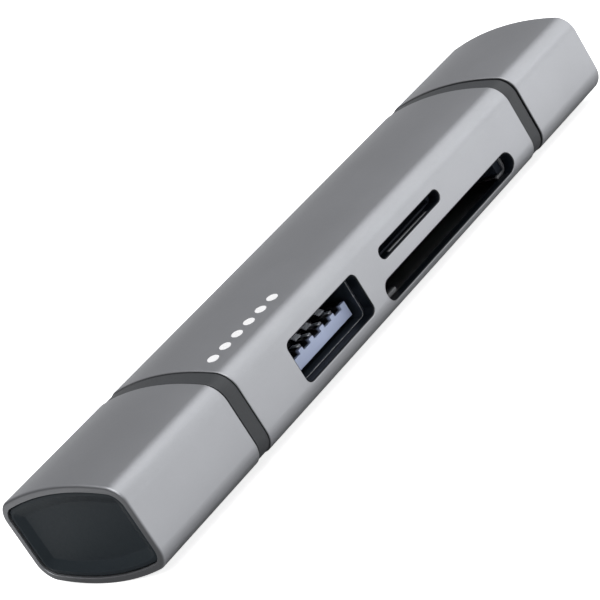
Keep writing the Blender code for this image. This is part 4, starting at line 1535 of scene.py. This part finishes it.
@dataclass
class UsbPort:
    """The USB port: steel shell, pale tongue with its comb of recesses, and its contacts."""

    edge: float = 0.07
    tongue_edge: float = 0.1
    sheet: float = 0.15
    fast_pitch: float = 2.0
    # the painted shade on the tongue runs from one to three times this depth behind its front
    unshaded_depth: float = 0.2
    pad_set_back: float = 1.0
    spring_pairs: Point = (7.0, 2.0)
    spring_path: tuple[tuple[float, float, float], ...] = (
        (-1.3, 0.05, 0.0),
        (-0.7, 0.35, 0.25),
        (0.5, 0.5, 0.5),
        (2.6, 0.0, 0.8),
    )

    def build(self) -> None:
        """Builds the port."""
        shell = refined("usb_port_shell", "usb_port_shell_fine", self.edge)
        # the port's shell carries painted shade, and a painted highlight on its edges
        install(shell, "hub", SHADED_PORT_STEEL, ["usb_port_shell"])
        tongue = refined("usb_port_insulator", "usb_port_tongue", self.tongue_edge, segments=3)
        front = Span.of("usb_port_insulator").low.y
        # painted shade: the tongue darkens behind its front face, where the port's shade falls
        depth_shade = (front + self.unshaded_depth, front + 3 * self.unshaded_depth)
        finish = replace(TONGUE_PLASTIC, name="port_tongue_plastic", depth_shade=depth_shade)
        install(tongue, "hub", finish, ["usb_port_insulator"])
        middle = Span.of("usb_port_shell").middle.x
        self._build_pads(middle)
        self._build_springs(middle)

    def _build_pads(self, middle: float) -> None:
        """The row of flat contacts.

        Args:
            middle: the x of the port's middle.
        """
        pad = Span.of("usb_port_fast_contact_1")
        half = pad.size.x / 2
        low = (middle - half, pad.low.y + self.pad_set_back, pad.low.z)
        high = (middle + half, pad.high.y, pad.high.z + self.sheet)
        flat = soften(shape("usb_port_flat_contacts", box_mesh(low, high)), PAD_EDGE)
        row_of(flat, 5, (self.fast_pitch, 0.0, 0.0), SPRING_METAL)
        install(shade(flat), "hub", SPRING_METAL, numbered("usb_port_fast_contact", 5))

    def _build_springs(self, middle: float) -> None:
        """The two pairs of sprung contacts.

        Args:
            middle: the x of the port's middle.
        """
        spring = Span.of("usb_port_contact_1")
        base = spring.low.z + self.sheet / 2
        bends = [(spring.low.y + along, base + rise, radius) for along, rise, radius in self.spring_path]
        path = filleted([*bends, (spring.high.y, base, 0.0)], closed=False)
        rows = []
        for gap in self.spring_pairs:
            strip = shape("spring", strip_mesh(path, self.sheet, spring.size.x, Axis.Y))
            strip.data.transform(Matrix.Translation((middle * MM, 0.0, 0.0)))
            soften(strip, STRIP_EDGE, angle=60)
            rows.append(row_of(strip, 2, (gap, 0.0, 0.0), SPRING_METAL))
        springs = joined("usb_port_spring_contacts", rows)
        install(shade(springs), "hub", SPRING_METAL, numbered("usb_port_contact", 4))


@dataclass(frozen=True)
class CardSocket:
    """One card socket: moulded frame, pressed steel cover and its row of contacts."""

    name: str
    contacts: int
    edge: float = 0.06

    def build(self) -> None:
        """Dresses the socket's frame, cover and contacts."""
        body = refined(f"{self.name}_socket_frame", f"{self.name}_socket_frame_fine", self.edge)
        install(body, "hub", SOCKET_PLASTIC, [f"{self.name}_socket_frame"])
        cover = refined(f"{self.name}_socket_cover", f"{self.name}_socket_cover_fine", self.edge / 2)
        install(cover, "hub", DARK_STEEL, [f"{self.name}_socket_cover"])
        first = Span.of(f"{self.name}_contact_1")
        last = Span.of(f"{self.name}_contact_{self.contacts}")
        run = last.middle.x - first.middle.x
        strip = refined(f"{self.name}_contact_1", f"{self.name}_contacts", STRIP_EDGE)
        strip.data.transform(Matrix.Translation((run / 2 * MM, 0.0, 0.0)))
        row_of(strip, self.contacts, (run / (self.contacts - 1), 0.0, 0.0), GOLD)
        install(shade(strip), "hub", GOLD, numbered(f"{self.name}_contact", self.contacts))


@dataclass
class SocketLips:
    """The steel lips that show just inside the two card slots."""

    front: float = -8.42
    back: float = -8.1
    sheet: float = 0.34
    corner: Point = (24.2, -3.62)
    upright: float = 1.75
    foot: float = 2.1
    near_bit: tuple[float, float, float] = (-1.95, 1.95, 0.52)
    near_depth: float = 0.4
    fold_edge: float = 0.05
    bit_edge: float = 0.12
    strip_edge: float = 0.045
    strip_x: Point = (0.75, 8.6)
    strip_rise: Point = (0.13, 0.04)
    strip_y: Point = (-9.6, -9.3)
    strip_floor: float = 0.64

    def build(self) -> None:
        """Builds the lips of both slots."""
        middle = Span.of("body_sleeve").middle.z
        x, z = self.corner
        outline = filleted(
            [
                (x, z, 0.3),
                (x, z + self.upright, 0.08),
                (x - self.sheet, z + self.upright, 0.08),
                (x - self.sheet, z + self.sheet, 0.1),
                (x - self.foot, z + self.sheet, 0.08),
                (x - self.foot, z, 0.08),
            ],
            closed=True,
        )
        folded = sweep(
            [(self.front, 0.0), (self.back, 0.0)], lambda _inset: outline, Axis.Y, origin=(0.0, 0.0, middle)
        )
        near_x, length, rise = self.near_bit
        low = (near_x, self.front, middle + z)
        high = (near_x + length, self.back + self.near_depth, middle + z + rise)
        bit = soften(shape("bit", box_mesh(low, high)), self.bit_edge, segments=4)
        lips = joined("sd_socket_lips", [soften(shape("fold", folded), self.fold_edge), bit])
        install(shade(lips), "hub", LIP_STEEL)
        self._build_strip(middle)

    def _build_strip(self, middle: float) -> None:
        """The strip along the lower edge of the microSD slot, which thins out along its length.

        Args:
            middle: the height of the section's middle.
        """
        floor = middle + self.strip_floor
        low, high = self.strip_y
        bm = bmesh.new()
        loops = []
        for x, rise in zip(self.strip_x, self.strip_rise):
            ring = ((low, floor), (high, floor), (high, floor + rise), (low, floor + rise))
            loops.append([bm.verts.new((x, y, z)) for y, z in ring])
        skin(bm, loops)
        strip = soften(shape("microsd_socket_lip", bm), self.strip_edge, segments=3)
        install(shade(strip), "hub", LIP_STEEL)


# ------------------------------------------------------------------ board


@dataclass
class Board:
    """The circuit board and the parts soldered to it."""

    lead: tuple[float, float, float] = (0.28, 0.5, 0.12)
    lead_out: float = 0.04
    square_chips: dict[str, tuple[int, float]] = field(
        default_factory=lambda: {"hub_controller": (10, 0.6), "card_reader_controller": (7, 0.6)}
    )

    def build(self) -> None:
        """Dresses the board and its parts."""
        dressed = {
            "main_board": (Slot.BOARD, BOARD_LACQUER, 0.05),
            "hub_controller": (Slot.CHIP, CHIP_EPOXY, 0.05),
            "card_reader_controller": (Slot.CHIP, CHIP_EPOXY, 0.05),
            "voltage_regulator": (Slot.CHIP, CHIP_EPOXY, 0.05),
            "power_inductor": (Slot.CHIP, CHIP_EPOXY, 0.15),
            "bulk_capacitor": (Slot.CERAMIC, CERAMIC, 0.06),
            "crystal": (Slot.STEEL, STEEL, 0.12),
        }
        for node, (slot, finish, edge) in dressed.items():
            install(refined(node, f"{node}_fine", edge), "hub", finish, [node])
        for node, (count, pitch) in self.square_chips.items():
            self._build_leads(node, count, pitch)

    def _build_leads(self, node: str, count: int, pitch: float) -> None:
        """The solder joints round a square chip.

        Args:
            node: the chip.
            count: how many there are on each side.
            pitch: the step from each to the next.
        """
        span = Span.of(node)
        width, length, height = self.lead
        rows = []
        for side in (-1, 1):
            for turned in (False, True):
                if turned:
                    out = Vector((side * (span.size.x / 2 + self.lead_out), 0.0, 0.0))
                    size, step = Vector((length, width, height)), (0.0, pitch, 0.0)
                else:
                    out = Vector((0.0, side * (span.size.y / 2 + self.lead_out), 0.0))
                    size, step = Vector((width, length, height)), (pitch, 0.0, 0.0)
                place = Vector((span.middle.x, span.middle.y, span.low.z)) + out
                low = place - Vector((size.x / 2, size.y / 2, 0.0))
                pad = soften(shape("lead", box_mesh(low, low + size)), PAD_EDGE)
                rows.append(row_of(pad, count, step, TIN))
        install(shade(joined(f"{node}_leads", rows)), "hub", TIN)


# ------------------------------------------------------------------ printed mark


@dataclass
class Mark:
    """A plain row of printed dots on the top, beside the front ridge."""

    section: Section
    x: float = -19.0
    y: float = -6.3
    count: int = 6
    pitch: float = 2.15
    radius: float = 0.66
    ink: float = 0.016
    sides: int = 40

    def build(self) -> None:
        """Prints the row of dots."""
        bm = bmesh.new()
        bmesh.ops.create_cone(
            bm,
            cap_ends=True,
            segments=self.sides,
            radius1=self.radius,
            radius2=self.radius - self.ink,
            depth=self.ink * 2,
        )
        lean = math.asin(self.y / self.section.arch)
        turn = Matrix.Rotation(-lean, 4, "X")
        place = Matrix.Translation((self.x, self.y, self.section.top_z(self.y)))
        bmesh.ops.transform(bm, matrix=place @ turn, verts=bm.verts)
        dots = shape("printed_dots", bm)
        row_of(dots, self.count, (self.pitch, 0.0, 0.0), WHITE_INK)
        install(dots, "hub", WHITE_INK)


# ------------------------------------------------------------------ studio


@dataclass(frozen=True)
class Softbox:
    """A large soft light that faces the hub."""

    name: str
    direction: tuple[float, float, float]
    distance: float
    size: Point
    power: float

    def build(self) -> None:
        """Hangs the light, with its distance and size in metres."""
        data = bpy.data.lights.new(self.name, "AREA")
        data.shape = "RECTANGLE"
        data.size, data.size_y = self.size
        data.energy = self.power
        light = bpy.data.objects.new(self.name, data)
        way = Vector(self.direction).normalized()
        light.location = way * self.distance
        light.rotation_mode = "QUATERNION"
        light.rotation_quaternion = (-way).to_track_quat("-Z", "Y")
        bpy.context.scene.collection.objects.link(light)


@dataclass
class Studio:
    """A pale floor and soft light. Its lengths are in metres, but the floor's gap is in millimetres.

    In reflections only, the floor carries a painted shadow close beside the hub, and a painted glow
    further out towards the USB-C end.
    """

    floor_size: float = 6.0
    floor_gap: float = 0.03
    floor_colour: Colour = (0.86, 0.86, 0.86)
    world_colour: Colour = (0.6, 0.6, 0.61)
    world_strength: float = 0.62
    floor_glow: float = 0.8
    mottle: float = 0.985
    # the painted shadow that reflections of the floor show close beside the hub
    painted_shadow_colour: Colour = (0.12, 0.12, 0.125)
    painted_shadow_reach: Point = (0.008, 0.018)
    painted_shadow_most: float = 0.7
    # the painted glow that reflections of the floor show further out towards the USB-C end
    painted_glow_reach: Point = (-0.04, 0.07)
    painted_glow: Point = (0.0, 0.4)
    softboxes: tuple[Softbox, ...] = (
        Softbox("ridge_softbox", (0.66, -0.36, 0.66), 0.8, (0.8, 1.0), 2.8),
        Softbox("overhead_softbox", (-0.45, -0.15, 0.88), 1.1, (1.2, 1.2), 12.0),
        Softbox("front_softbox", (0.5, -0.82, 0.2), 0.9, (1.2, 0.35), 0.8),
    )

    def build(self) -> None:
        """Sets up the floor, the lights and the sky."""
        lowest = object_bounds()[0].z
        bm = bmesh.new()
        bmesh.ops.create_grid(bm, x_segments=1, y_segments=1, size=self.floor_size / 2 / MM)
        bmesh.ops.translate(bm, vec=(0.0, 0.0, lowest / MM - self.floor_gap), verts=bm.verts)
        floor = shape("floor", bm)
        floor.data.materials.append(self._floor_material())
        floor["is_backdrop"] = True
        for softbox in self.softboxes:
            softbox.build()
        world = bpy.data.worlds.new("studio")
        bpy.context.scene.world = world
        world.use_nodes = True
        sky = world.node_tree.nodes["Background"]
        sky.inputs["Color"].default_value = (*self.world_colour, 1.0)
        sky.inputs["Strength"].default_value = self.world_strength
        bpy.context.scene.view_settings.view_transform = "Standard"
        bpy.context.scene.view_settings.look = "None"

    def _floor_material(self) -> bpy.types.Material:
        """A matt pale board with a faint mottle, that gives off light to the camera and to reflections."""
        material = bpy.data.materials.new("pale_floor")
        material.use_nodes = True
        nodes = Nodes(material.node_tree)
        shader = material.node_tree.nodes["Principled BSDF"]
        shader.inputs["Roughness"].default_value = 0.9
        shader.inputs["Specular IOR Level"].default_value = 0.1
        noise = nodes.add("ShaderNodeTexNoise", Scale=6.0)
        nodes.link(object_place(nodes), noise.inputs["Vector"])
        darker = tuple(value * self.mottle for value in self.floor_colour)
        colour = nodes.blend(noise.outputs["Fac"], darker, self.floor_colour)
        path = nodes.add("ShaderNodeLightPath")
        camera, glossy = path.outputs["Is Camera Ray"], path.outputs["Is Glossy Ray"]
        split = nodes.add("ShaderNodeSeparateXYZ")
        nodes.link(object_place(nodes), split.inputs[0])
        aside = nodes.math("ABSOLUTE", split.outputs["Y"])
        # painted shadow: reflections of the floor beside the hub are darkened
        painted_shadow_mask = nodes.remap(aside, self.painted_shadow_reach, (self.painted_shadow_most, 0.0))
        colour = nodes.blend(nodes.math("MULTIPLY", painted_shadow_mask, glossy), colour, self.painted_shadow_colour)
        nodes.link(colour, shader.inputs["Base Color"])
        # painted glow: reflections of the floor further out are brightened by emission
        clear = nodes.remap(aside, self.painted_shadow_reach, (0.0, 1.0))
        painted_glow_strength = nodes.remap(split.outputs["X"], self.painted_glow_reach, self.painted_glow)
        painted_glow_strength = nodes.math("MULTIPLY", nodes.math("MULTIPLY", painted_glow_strength, clear), glossy)
        seen = nodes.math("MULTIPLY", camera, self.floor_glow)
        nodes.link(nodes.math("ADD", seen, painted_glow_strength), shader.inputs["Emission Strength"])
        shader.inputs["Emission Color"].default_value = (1.0, 1.0, 1.0, 1.0)
        return material


@dataclass(frozen=True)
class Viewpoint:
    """Where the camera stands: angles in degrees, lengths in metres, lens and sensor in millimetres."""

    target: tuple[float, float, float] = (-0.00302, 0.00258, 0.00527)
    azimuth: float = -40.5
    elevation: float = 17.4
    roll: float = -32.2
    distance: float = 0.24625
    lens: float = 134.88
    sensor: float = 36.0
    nearest: float = 0.01

    def build(self) -> None:
        """Makes the camera and gives it to the scene."""
        turn, lift, roll = (math.radians(angle) for angle in (self.azimuth, self.elevation, self.roll))
        back = Vector(
            (math.sin(turn) * math.cos(lift), -math.cos(turn) * math.cos(lift), math.sin(lift))
        )
        level = Vector((math.cos(turn), math.sin(turn), 0.0))
        upright = back.cross(level)
        right = level * math.cos(roll) + upright * math.sin(roll)
        up = back.cross(right)
        data = bpy.data.cameras.new("camera")
        data.lens = self.lens
        data.sensor_width = self.sensor
        data.clip_start = self.nearest
        camera = bpy.data.objects.new("camera", data)
        camera.matrix_world = Matrix.Translation(Vector(self.target) + back * self.distance) @ Matrix(
            (right, up, back)
        ).transposed().to_4x4()
        bpy.context.scene.collection.objects.link(camera)
        bpy.context.scene.camera = camera


def corners(box: tuple[Vector, Vector]) -> list[list[float]]:
    """A box's two corners as plain lists of numbers."""
    return [list(corner) for corner in box]


def main() -> None:
    """Builds the pieces, the studio and the camera, in order."""
    logging.basicConfig(level=logging.INFO, format="%(name)s: %(message)s")
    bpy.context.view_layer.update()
    Viewpoint().build()
    Studio().build()
    section = Section.of_frame()
    Sleeve(section, Openings().all()).build()
    for end in End:
        Collar(end, section).build()
    for end in End:
        Cap(end, section).build()
    UsbAPlug().build()
    UsbCPlug().build()
    UsbPort().build()
    CardSocket("sd", contacts=9).build()
    CardSocket("microsd", contacts=8).build()
    SocketLips().build()
    Board().build()
    Mark(section).build()


if __name__ == "__main__":
    main()
